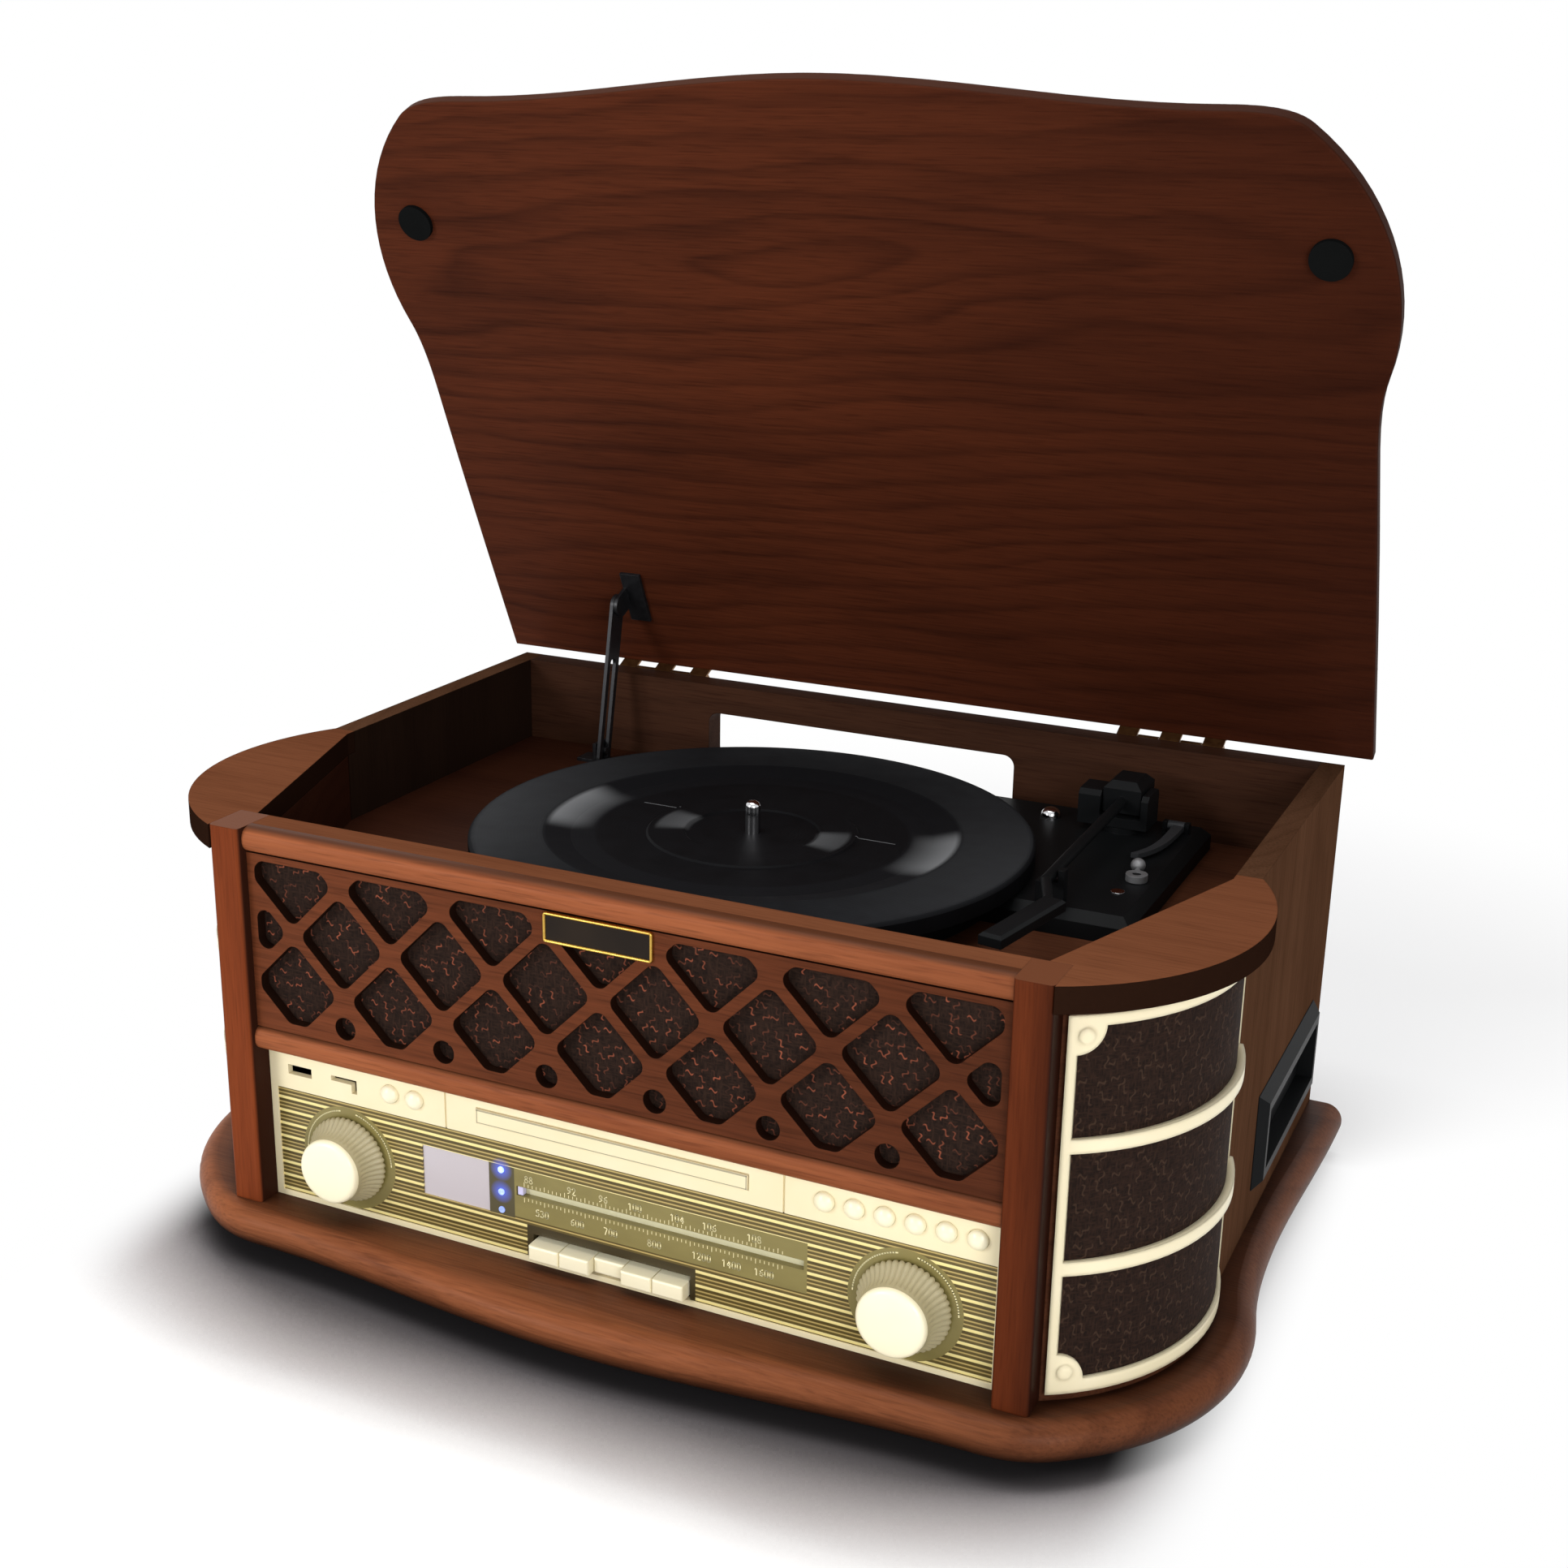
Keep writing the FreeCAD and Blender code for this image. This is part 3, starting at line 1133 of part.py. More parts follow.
def headshell():
    """Angled head at the end of the tonearm, with the stylus below."""
    rear = vec(ARM_X + HEAD_REAR[0], ARM_Y + HEAD_REAR[1], 0)
    tip = vec(ARM_X + HEAD_TIP[0], ARM_Y + HEAD_TIP[1], 0)
    along = vec(tip.x - rear.x, tip.y - rear.y, 0).normalize()
    across = vec(-along.y, along.x, 0) * (HEAD_W / 2)
    corners = [rear + across, rear - across, tip - across, tip + across]
    low = PLATTER_TOP + STYLUS_CLEAR + STYLUS_H
    head = plan_prism([(corner.x, corner.y) for corner in corners], (low, low + HEAD_H))
    crest = [edge for edge in head.Edges if edge.BoundBox.ZMin > low + HEAD_H - 1e-3]
    head = head.makeChamfer(HEAD_H * 0.25, crest)
    point = tip - along * STYLUS_BACK
    stylus = Part.makeCone(0.3, HEAD_W / 4, STYLUS_H,
                           vec(point.x, point.y, PLATTER_TOP + STYLUS_CLEAR), vec(0, 0, 1))
    return head.fuse(stylus), rear + along * HEAD_W / 2, low + HEAD_H / 2


def tonearm():
    """Counterweight block on its trunnion, the tube, its bent neck and the headshell."""
    front = weight_front()
    low = GIMBAL_Z + GIMBAL_BASE_H + WEIGHT_CLEAR
    x = (GIMBAL_X[0] + CHEEK_LEFT_T + 2 * RUN, GIMBAL_X[1] - CHEEK_RIGHT_T - 2 * RUN)
    weight = box(x, (front, front + WEIGHT_D), (low, low + WEIGHT_H))
    ridge = [edge for edge in weight.Edges if edge.BoundBox.ZMin > low + WEIGHT_H - 1e-3]
    weight = weight.makeChamfer(WEIGHT_BEVEL, ridge)
    trunnion = cross_bar(GIMBAL_X, ARM_Y, TRUNNION_Z, TRUNNION_R)
    end = front - TUBE_LENGTH
    bend = vec(ARM_X, end, tube_height(end))
    start = vec(ARM_X, front + 2, TRUNNION_Z)
    tube = Part.makeCylinder(TUBE_R, (bend - start).Length, start, bend - start)
    head, seat, level = headshell()
    joint = vec(seat.x, seat.y, level)
    neck = Part.makeCylinder(TUBE_R * 0.9, (joint - bend).Length, bend, joint - bend)
    return [weight.fuse([trunnion, tube, Part.makeSphere(TUBE_R, bend), neck, head]).removeSplitter()]


def lever_height():
    """Height of the cue lever's axis."""
    return DECK_TOP + LEVER_HUB_R + RUN


def cue_lever():
    """Curved lever that lifts the tonearm, hinged at its rear end."""
    middle = (LEVER_X[0] + LEVER_X[1]) / 2
    low = lever_height() - LEVER_T / 2
    outer = []
    inner = []
    steps = 10
    for step in range(steps + 1):
        part = step / steps
        x = middle + 1.5 - LEVER_HOOK * part ** 4
        width = LEVER_W * (1 - 0.35 * part) / 2
        y = LEVER_Y - LEVER_REACH * part
        outer.append((x + width, y))
        inner.append((x - width, y))
    blade = plan_prism(outer + inner[::-1], (low, low + LEVER_T))
    hub = cross_bar(LEVER_X, LEVER_Y, lever_height(), LEVER_HUB_R)
    bore = cross_bar((LEVER_X[0] - 1, LEVER_X[1] + 1), LEVER_Y, lever_height(), LEVER_PIN_R + FIT)
    return [hub.fuse(blade).removeSplitter().cut(bore)]


def speed_selector():
    """Small lever with a round tip that sets the record speed."""
    x, y = SELECTOR_AT
    z = (DECK_TOP + RUN, DECK_TOP + RUN + SELECTOR_HUB_H)
    hub = upright(x, y, z, SELECTOR_HUB_R)
    tip = vec(x + SELECTOR_REACH[0], y + SELECTOR_REACH[1], DECK_TOP + RUN + SELECTOR_BALL_R)
    along = vec(SELECTOR_REACH[0], SELECTOR_REACH[1], 0)
    arm = Part.makeCylinder(1.4, along.Length, vec(x, y, DECK_TOP + RUN + SELECTOR_HUB_H / 2), along)
    lever = hub.fuse([arm, Part.makeSphere(SELECTOR_BALL_R, tip)]).removeSplitter()
    return [lever.cut(upright(x, y, (DECK_TOP, DECK_TOP + SELECTOR_HUB_H + RUN), SELECTOR_PIN_R + FIT))]


def fixing_screws():
    """Screw heads on the rear panel and on the deck."""
    screws = []
    for x in (SCREW_EDGE - WALL_IN, -SCREW_MID_X, SCREW_MID_X, WALL_IN - SCREW_EDGE):
        for z in (PLINTH_Z + SCREW_EDGE, FLOOR_Z - FLOOR_T / 2):
            screws.append(deep_bar(x, (CABINET_D, CABINET_D + SCREW_H), z, SCREW_R))
    screws.append(upright(*DECK_SCREW_AT, (DECK_TOP - SCREW_H, DECK_TOP + 0.4), SCREW_R))
    dome = upright(*dome_place(), (DECK_TOP - SCREW_H, DECK_TOP + DOME_H), DOME_R)
    tip = [edge for edge in dome.Edges if edge.BoundBox.ZMin > DECK_TOP + DOME_H - 1e-3]
    screws.append(dome.makeFillet(DOME_R * 0.85, tip))
    return screws


def opened(shape):
    """A lid piece drawn with the lid shut, turned to the open pose."""
    turned = shape.copy()
    turned.rotate(vec(0, HINGE_Y, HINGE_Z), vec(1, 0, 0), -LID_OPEN)
    return turned


def lid_panel():
    """Lid board with a bowed front and rounded lobes."""
    lobe = (WING_X + LID_LOBE_SHIFT[0], WING_Y + LID_LOBE_SHIFT[1])
    face = board_outline(LID_FRONT, LID_BOW, FRONT_HALF_W - LID_BOW_IN, lobe, WING_R + LID_LOBE,
                         LID_ROUND_Y, BODY_HALF_W + LID_WAIST_OUT, BODY_HALF_W + LID_REAR_OUT, LID_REAR)
    board = face.extrude(vec(0, 0, LID_T))
    board = board.makeFillet(LID_EDGE_OUT, rim_edges(board, LID_T, LID_REAR))
    board = board.makeFillet(LID_EDGE_IN, rim_edges(board, 0, LID_REAR))
    board.translate(vec(0, 0, LID_Z))
    return [opened(board)]


def lid_bumpers():
    """Soft round pads under the lid above the wings."""
    pad = upright(WING_REACH - BUMPER_IN[0], WING_Y - BUMPER_IN[1], (LID_Z - BUMPER_T, LID_Z), BUMPER_R)
    return [opened(piece) for piece in pair(pad)]


def knuckle_spans(first):
    """Spans along x of every second knuckle, short of their neighbours."""
    width = HINGE_W / KNUCKLE_COUNT
    spans = []
    for count in range(first, KNUCKLE_COUNT, 2):
        low = HINGE_X - HINGE_W / 2 + count * width
        spans.append((low + RUN, low + width - RUN))
    return spans


def lid_hinge_leaves():
    """Hinge leaves on the rear edge of the lid, with three knuckles each."""
    y = (LID_REAR, LID_REAR + LEAF_T)
    leaf = block(HINGE_X, HINGE_W, y, (LID_Z + LEAF_EDGE, LID_Z + LID_T - LEAF_EDGE))
    parts = []
    bores = []
    for span in knuckle_spans(0):
        parts.append(box(span, y, (HINGE_Z, LID_Z + LID_T - LEAF_EDGE)))
        parts.append(cross_bar(span, HINGE_Y, HINGE_Z, KNUCKLE_R))
        bores.append(cross_bar((span[0] - 1, span[1] + 1), HINGE_Y, HINGE_Z, HINGE_PIN_R + FIT))
    leaf = leaf.fuse(parts).removeSplitter().cut(bores)
    return [opened(piece) for piece in pair(leaf)]


def cabinet_hinge_leaves():
    """Hinge leaves on the rear panel, with two knuckles and the pin each."""
    y = (CABINET_D, CABINET_D + LEAF_T)
    leaf = block(HINGE_X, HINGE_W, y, (HINGE_Z - LEAF_DOWN, HINGE_Z - KNUCKLE_R - RUN))
    parts = [cross_bar((HINGE_X - HINGE_W / 2, HINGE_X + HINGE_W / 2), HINGE_Y, HINGE_Z, HINGE_PIN_R)]
    for span in knuckle_spans(1):
        parts.append(box(span, y, (HINGE_Z - LEAF_DOWN, HINGE_Z)))
        parts.append(cross_bar(span, HINGE_Y, HINGE_Z, KNUCKLE_R))
    return pair(leaf.fuse(parts).removeSplitter())


def stay_pivot():
    """Stay pivot on the lid in side view, with the lid shut."""
    return (LID_REAR - STAY_PIVOT_BACK, LID_Z - STAY_PIVOT_DROP)


def stay_lid_bracket():
    """Angle on the inside of the lid with the stay's upper pivot pin."""
    y, z = stay_pivot()
    width, length, thick = STAY_PLATE
    ear_x = STAY_X + STAY_T / 2 + RUN
    plate = box((ear_x, ear_x + width), (y - length / 2, y + length / 2), (LID_Z - thick, LID_Z))
    ear = box((ear_x, ear_x + EAR_T), (y - STAY_W / 2, y + STAY_W / 2), (z, LID_Z))
    eye = cross_bar((ear_x, ear_x + EAR_T), y, z, STAY_W / 2)
    pin = cross_bar((STAY_X - STAY_T / 2 - 1, ear_x + EAR_T / 2), y, z, STAY_PIN_R)
    return [opened(plate.fuse([ear, eye, pin]).removeSplitter())]


def stay_reach():
    """Distance from the lid pivot to the guide pin with the lid open and shut."""
    shut = stay_pivot()
    wide = turn(shut[0], shut[1], -LID_OPEN)
    reach = []
    for y, z in (wide, shut):
        reach.append(math.hypot(STAY_GUIDE_Y - y, STAY_GUIDE_Z - z))
    return reach


def stay_arm():
    """Flat slotted bar between the lid and the guide pin, in the open pose."""
    shut = stay_pivot()
    y, z = turn(shut[0], shut[1], -LID_OPEN)
    far, near = stay_reach()
    x = (STAY_X - STAY_T / 2, STAY_X + STAY_T / 2)
    half = STAY_W / 2
    end = far + STAY_PIN_R + 2 * STAY_PLAY
    bar = box(x, (-half, half), (-end, 0))
    bar = bar.fuse([cross_bar(x, 0, 0, half), cross_bar(x, 0, -end, half)]).removeSplitter()
    wide_x = (x[0] - 1, x[1] + 1)
    slot_half = STAY_PIN_R + STAY_PLAY
    slot = box(wide_x, (-slot_half, slot_half), (-end + STAY_PLAY, -near + STAY_PLAY))
    ends = [cross_bar(wide_x, 0, height, slot_half) for height in (-end + STAY_PLAY, -near + STAY_PLAY)]
    bar = bar.cut([slot.fuse(ends), cross_bar(wide_x, 0, 0, STAY_PIN_R + FIT)])
    lean = math.degrees(math.atan2(STAY_GUIDE_Y - y, z - STAY_GUIDE_Z))
    bar.rotate(vec(0, 0, 0), vec(1, 0, 0), lean)
    bar.translate(vec(0, y, z))
    return [bar]


def stay_slot(z):
    """Slot in the well floor that the stay drops through."""
    half = STAY_T / 2 + 2.5
    return box((STAY_X - half, STAY_X + half), (STAY_GUIDE_Y - STAY_W, STAY_GUIDE_Y + STAY_W), z)


def stay_guide():
    """Angle on the well floor with the pin in the stay's slot."""
    side = STAY_X - STAY_T / 2 - 2 * RUN
    y = (STAY_GUIDE_Y - STAY_W / 2, STAY_GUIDE_Y + STAY_W / 2)
    wall = box((side - EAR_T, side), y, (FLOOR_Z, STAY_GUIDE_Z + STAY_END))
    foot = box((side - STAY_PLATE[0], side - EAR_T), y, (FLOOR_Z, FLOOR_Z + STAY_PLATE[2]))
    pin = cross_bar((side - EAR_T / 2, STAY_X + STAY_T / 2 + 1), STAY_GUIDE_Y, STAY_GUIDE_Z, STAY_PIN_R)
    return [wall.fuse([foot, pin]).removeSplitter()]


def main():
    """Write every node."""
    os.makedirs("parts", exist_ok=True)
    for piece in (
            plinth_base, rubber_feet, side_walls, rear_panel, top_frame, front_posts, front_mouldings,
            grille_fret, grille_cloths, badge_plate, well_boards, radio_fascia, dial_plate,
            display_windows, indicator_lenses, dial_pointer, cd_tray, cd_mechanism, main_circuit_board,
            power_transformer, mains_inlet, cassette_bezel, cassette_door, cassette_mechanism,
            turntable_deck, platter, platter_spindle, drive_motor, motor_pulley, drive_belt,
            tonearm_gimbal, tonearm, cue_lever, speed_selector, fixing_screws, lid_panel, lid_bumpers,
            lid_hinge_leaves, cabinet_hinge_leaves, stay_lid_bracket, stay_arm, stay_guide):
        save(piece.__name__, piece())
    save("speaker_frames", pair(speaker_frame()))
    save("speaker_baffles", pair(speaker_baffle()))
    save("speaker_drivers", pair(speaker_driver()))
    save("volume_knob", knob(-KNOB_X))
    save("tuning_knob", knob(KNOB_X))
    for number, x in enumerate(key_places(), 1):
        save("band_key_" + str(number), band_key(x, KEY_TRAVEL if number == KEY_LATCHED else 0))
    mode, track = track_button_places()
    for number, x in enumerate(mode, 1):
        save("mode_button_" + str(number), round_button(x))
    for number, x in enumerate(track, 1):
        save("track_button_" + str(number), round_button(x))


if __name__ == "__main__":
    main()
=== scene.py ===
"""Looks of a wooden music centre with a record player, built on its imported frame.

Everything is in metres in the frame's own axes: +Z up, -Y out of the front. Sizes are written in
millimetres and multiplied by MM where a mesh or a pattern needs them.
"""

import enum
import logging
import math
from dataclasses import dataclass, field
from typing import Any, Iterable, Sequence

import bmesh
import bpy
import numpy as np
from mathutils import Matrix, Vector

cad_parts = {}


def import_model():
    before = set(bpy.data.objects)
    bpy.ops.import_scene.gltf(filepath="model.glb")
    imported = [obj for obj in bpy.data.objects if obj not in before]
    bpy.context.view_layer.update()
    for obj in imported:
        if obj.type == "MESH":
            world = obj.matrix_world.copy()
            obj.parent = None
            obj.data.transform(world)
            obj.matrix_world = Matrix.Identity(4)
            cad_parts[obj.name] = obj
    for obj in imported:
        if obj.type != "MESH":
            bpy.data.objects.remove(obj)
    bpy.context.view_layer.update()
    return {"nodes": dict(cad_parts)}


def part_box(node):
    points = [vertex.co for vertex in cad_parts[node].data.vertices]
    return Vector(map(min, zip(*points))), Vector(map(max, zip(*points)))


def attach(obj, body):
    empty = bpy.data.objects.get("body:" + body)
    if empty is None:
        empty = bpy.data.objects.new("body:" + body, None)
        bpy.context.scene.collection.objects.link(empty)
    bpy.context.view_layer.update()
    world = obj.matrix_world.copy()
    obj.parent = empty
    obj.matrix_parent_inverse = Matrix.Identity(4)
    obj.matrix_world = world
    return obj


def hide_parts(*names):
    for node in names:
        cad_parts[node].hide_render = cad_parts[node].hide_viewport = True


MM = 0.001
LOG = logging.getLogger("music_centre")
Tree = bpy.types.NodeTree
Node = bpy.types.Node
Socket = bpy.types.NodeSocket
Source = Node | Socket
Pair = tuple[float, float]
Triple = tuple[float, float, float]
Four = tuple[float, float, float, float]


def linear(code: str) -> Four:
    """Turn an sRGB hex colour into linear light.

    Args:
        code: colour as "#rrggbb".

    Returns:
        Linear red, green and blue with full alpha.
    """
    parts = [int(code[i:i + 2], 16) / 255 for i in (1, 3, 5)]
    light = [p / 12.92 if p <= 0.04045 else ((p + 0.055) / 1.055) ** 2.4 for p in parts]
    return (light[0], light[1], light[2], 1.0)


def link(tree: Tree, node: Node, inputs: dict[Any, Any]) -> None:
    """Fill a node's sockets.

    Args:
        tree: node tree that holds the node.
        node: node to fill.
        inputs: sockets by name or number, each given a number, a hex colour, another node's socket, or
            another node, which stands for its first live output.
    """
    for key, value in inputs.items():
        if isinstance(value, Node):
            value = next(out for out in value.outputs if out.enabled)
        if isinstance(value, Socket):
            tree.links.new(value, node.inputs[key])
        else:
            node.inputs[key].default_value = linear(value) if isinstance(value, str) else value


def add(tree: Tree, kind: str, inputs: dict[Any, Any] | Sequence[Any] = (),
        stops: Sequence[tuple[float, str]] = (), **settings: Any) -> Node:
    """Add one node with its settings and links; a Mix node mixes colours.

    Args:
        tree: node tree of a material or world.
        kind: node type without its "ShaderNode" prefix, with its operation after a colon.
        inputs: sockets and what they get, as link takes them, or a list that fills the sockets in order.
        stops: places and hex colours of a colour ramp.
        settings: attributes of the node.

    Returns:
        The new node.
    """
    kind, _, operation = kind.partition(":")
    made = tree.nodes.new("ShaderNode" + kind)
    if kind == "Mix":
        made.data_type = "RGBA"
    if operation:
        made.operation = operation
    for name, value in settings.items():
        setattr(made, name, value)
    for count, (place, code) in enumerate(stops):
        ends = made.color_ramp.elements
        stop = ends[-1] if count == 0 else ends.new(place)
        stop.position = place
        stop.color = linear(code)
        if count == 0:
            ends.remove(ends[0])
    link(tree, made, inputs if isinstance(inputs, dict) else dict(enumerate(inputs)))
    return made


class Grain(enum.Enum):
    """Axis that the wood fibres run along."""

    ALONG_X = (1, 0, 0)
    ALONG_Z = (0, 0, 1)

    def spans(self, along: float, across: float) -> Triple:
        """Pattern frequencies per metre from two sizes in millimetres.

        Args:
            along: size of a feature along the fibres.
            across: size of a feature across them.

        Returns:
            Scale for each axis.
        """
        return tuple(1 / (along * MM) if on else 1 / (across * MM) for on in self.value)

    def across(self) -> Triple:
        """One for each axis across the fibres, zero along them."""
        return tuple(1.0 - on for on in self.value)


@dataclass(frozen=True)
class Finish:
    """A surface finish that makes one shared material."""

    name: str
    slot: str

    def material(self) -> bpy.types.Material:
        """Make the material once and give it back each time.

        Returns:
            The node material of this finish.
        """
        found = bpy.data.materials.get(self.name)
        if found and found.get("dressed"):
            return found
        made = bpy.data.materials.new(self.name)
        made.use_nodes = True
        made["dressed"] = True
        tree = made.node_tree
        tree.nodes.clear()
        shader = add(tree, "BsdfPrincipled")
        add(tree, "OutputMaterial", {"Surface": shader})
        self.shade(tree, shader)
        return made

    def shade(self, tree: Tree, shader: Node) -> None:
        """Set the shader's sockets and patterns."""
        raise NotImplementedError

    def place(self, tree: Tree) -> Source:
        """Object coordinates in metres."""
        return add(tree, "TexCoord").outputs["Object"]

    def speckle(self, tree: Tree, size: Triple, detail: float = 2.0, rough: float = 0.5) -> Source:
        """Even noise with a feature size for each axis.

        Args:
            tree: tree to add to.
            size: pattern frequency for each axis per metre.
            detail: octaves.
            rough: weight of the finer octaves.

        Returns:
            Noise value around one half.
        """
        at = add(tree, "Mapping", {"Vector": self.place(tree), "Scale": size})
        return add(tree, "TexNoise", {"Vector": at, "Scale": 1.0, "Detail": detail, "Roughness": rough})


@dataclass(frozen=True)
class LacqueredWood(Finish):
    """Mahogany veneer under satin lacquer: growth rings cut at a slant, long fibres and short dark pores."""

    grain: Grain = Grain.ALONG_X
    pith: Triple = (0.0, 0.0, 0.0)
    slant: Triple = (0.0, 0.0, 0.0)
    early: str = "#7a3c20"
    late: str = "#4a2012"
    pore: str = "#220d07"
    band: float = 9.0
    sway: float = 34.0
    depth: float = 0.55
    pores: float = 0.5
    rough: float = 0.42
    gloss: float = 0.08
    edge: float = 0.8
    # Painted shade: end tone on faces turned off the face direction, x ranges as (from x, to x, amount), inner on
    # faces that look to the middle, reach of shaded corners; cap is a tone on faces that look up, painted shade on
    # front rails.
    face: Triple = (0.0, 0.0, 0.0)
    end: str = "#21140d"
    cap: str = ""
    painted_shade_x: tuple[Triple, ...] = ()
    inner: float = 0.0
    painted_nook_shade: float = 0.0

    def rings(self, tree: Tree) -> Source:
        """Growth rings: the distance to a slanted pith line, bent by a slow noise, in steps of the band.

        Args:
            tree: tree to add to.

        Returns:
            Tone of the ring, light in the early wood and dark at its end.
        """
        spot = self.place(tree)
        sway_at = add(tree, "Mapping", {"Vector": spot, "Scale": self.grain.spans(260, 70)})
        sway = add(tree, "TexNoise", {"Vector": sway_at, "Scale": 1.0, "Detail": 3.0, "Roughness": 0.45})
        moved = add(tree, "VectorMath:MULTIPLY_ADD", [sway.outputs["Color"], (self.sway * MM,) * 3, spot])
        centred = add(tree, "VectorMath:SUBTRACT", [moved, tuple(p * MM for p in self.pith)])
        leant = add(tree, "Mapping", {"Vector": centred, "Rotation": tuple(math.radians(a) for a in self.slant)})
        flat = add(tree, "VectorMath:MULTIPLY", [leant, self.grain.across()])
        reach = add(tree, "VectorMath:LENGTH", [flat])
        turns = add(tree, "Math:MULTIPLY", [reach, 1 / (self.band * MM)])
        ring = add(tree, "Math:FRACT", [turns])
        return add(tree, "ValToRGB", {"Fac": ring}, stops=(
            (0.0, "#3a3a3a"), (0.12, "#101010"), (0.5, "#4a4a4a"), (0.85, "#dcdcdc"), (1.0, "#3a3a3a")))

    def painted_shade_and_tone(self, tree: Tree, colour: Source) -> Source:
        """Painted shade by place on edges, sides, inner faces, corners and along x, and a tone on faces that look up.

        Args:
            tree: tree to add to.
            colour: colour of the plain wood.

        Returns:
            Colour with the painted shade and tones that this finish has.
        """
        normal = add(tree, "TexCoord").outputs["Normal"]
        ways = add(tree, "SeparateXYZ", [normal])
        place = add(tree, "SeparateXYZ", [self.place(tree)]).outputs["X"]
        # Each painted shade or tone: what drives it, its range, the share at both ends of the range, and its tone.
        painted_shades_and_tones: list[tuple[Source, float, float, float, float, str]] = []
        # Painted shade on faces turned off the face direction, in the end tone.
        if any(self.face):
            lean = add(tree, "VectorMath:DOT_PRODUCT", [normal, self.face])
            flush = add(tree, "Math:ABSOLUTE", [lean])
            painted_shades_and_tones.append((flush, 0.35, 0.85, 0.95, 0.0, self.end))
        # Painted shade along x, growing from the first x of each range to the second.
        painted_shades_and_tones += [(place, begin * MM, end * MM, 0.0, amount, self.pore) for begin, end, amount in self.painted_shade_x]
        # Painted shade on faces that look to the middle.
        if self.inner:
            inward = add(tree, "Math:MULTIPLY", [place, ways.outputs["X"]])
            painted_shades_and_tones.append((inward, -0.02, -0.1, 0.0, self.inner, self.pore))
        # Painted shade in corners, deeper where occlusion rays within the reach are blocked.
        if self.painted_nook_shade:
            shut = add(tree, "AmbientOcclusion", {"Distance": self.painted_nook_shade * MM}, samples=8)
            painted_shades_and_tones.append((shut.outputs["AO"], 0.9, 0.45, 0.0, 0.85, self.pore))
        # A tone on faces that look up; on the front rails it is painted shade.
        if self.cap:
            painted_shades_and_tones.append((ways.outputs["Z"], 0.6, 0.95, 0.0, 0.9, self.cap))
        for value, begin, end, low, high, tone in painted_shades_and_tones:
            share = add(tree, "MapRange", [value, begin, end, low, high])
            colour = add(tree, "Mix", {0: share, 6: colour, 7: tone})
        return colour

    def shade(self, tree: Tree, shader: Node) -> None:
        """Colour from rings, fibres, clouds and pores, then the painted shade and tones; the pores are pressed in."""
        fibre = self.speckle(tree, self.grain.spans(42, 1.2), 3.0, 0.6)
        cloud = self.speckle(tree, self.grain.spans(170, 48), 2.0)
        bands = add(tree, "Math:MULTIPLY", [self.rings(tree), self.depth])
        tone = add(tree, "Math:MULTIPLY_ADD", [fibre, 0.75, bands])
        tone = add(tree, "Math:MULTIPLY_ADD", [cloud, 0.8, tone])
        shift = add(tree, "MapRange", [tone, 0.5, 1.3])
        wood = add(tree, "Mix", {0: shift, 6: self.early, 7: self.late})
        # Real pores are about 0.2 mm wide; they are drawn 1 mm wide so that they show.
        dashes = self.speckle(tree, self.grain.spans(19, 1.0), 1.0)
        cut = add(tree, "MapRange", [dashes, 0.54, 0.7])
        dark = add(tree, "Math:MULTIPLY", [cut, self.pores])
        plain = add(tree, "Mix", {0: dark, 6: wood, 7: self.pore})
        sheen = add(tree, "MapRange", [fibre, 0.0, 1.0, self.rough - 0.05, self.rough + 0.08])
        soft = add(tree, "Bevel", {"Radius": self.edge * MM}, samples=4)
        bump = add(tree, "Bump", {"Height": dark, "Strength": 0.25, "Distance": 0.0003, "Normal": soft}, invert=True)
        link(tree, shader, {"Base Color": self.painted_shade_and_tone(tree, plain), "Roughness": sheen,
                            "Normal": bump, "IOR": 1.5, "Specular IOR Level": self.gloss})


@dataclass(frozen=True)
class MouldedPlastic(Finish):
    """Injection-moulded ABS: an even colour with a faint flow cloud and a fine spark-eroded texture."""

    colour: str = "#efe2bc"
    shade_to: str = "#e3d3a6"
    rough: float = 0.34
    grit: float = 0.6
    bump: float = 0.03
    edge: float = 0.35
    gloss: float = 0.5

    def shade(self, tree: Tree, shader: Node) -> None:
        """Colour from a slow cloud, gloss and bump from the mould's grit."""
        cloud = self.speckle(tree, (40, 40, 40), 2.0)
        grit = self.speckle(tree, (1 / (self.grit * MM),) * 3, 1.0)
        colour = add(tree, "Mix", {0: cloud, 6: self.colour, 7: self.shade_to})
        gloss = add(tree, "MapRange", [grit, 0.0, 1.0, self.rough - 0.05, self.rough + 0.05])
        soft = add(tree, "Bevel", {"Radius": self.edge * MM}, samples=4)
        bump = add(tree, "Bump", {"Height": grit, "Strength": self.bump, "Distance": 0.0002, "Normal": soft})
        link(tree, shader, {"Base Color": colour, "Roughness": gloss, "Normal": bump,
                            "IOR": 1.53, "Specular IOR Level": self.gloss})


@dataclass(frozen=True)
class Metal(Finish):
    """Plated, brushed or painted steel and brass: a metal tint with fine drawing marks."""

    colour: str = "#d8d8da"
    worn: str = "#c2c2c6"
    rough: float = 0.16
    metallic: float = 1.0
    marks: Triple = (400, 400, 400)

    def shade(self, tree: Tree, shader: Node) -> None:
        """Tint and gloss follow one field of marks."""
        marks = self.speckle(tree, self.marks, 3.0, 0.6)
        colour = add(tree, "Mix", {0: marks, 6: self.colour, 7: self.worn})
        gloss = add(tree, "MapRange", [marks, 0.0, 1.0, self.rough * 0.7, self.rough * 1.4])
        soft = add(tree, "Bevel", {"Radius": 0.3 * MM}, samples=4)
        bump = add(tree, "Bump", {"Height": marks, "Strength": 0.04, "Distance": 0.0001, "Normal": soft})
        link(tree, shader, {"Base Color": colour, "Roughness": gloss, "Normal": bump, "Metallic": self.metallic})


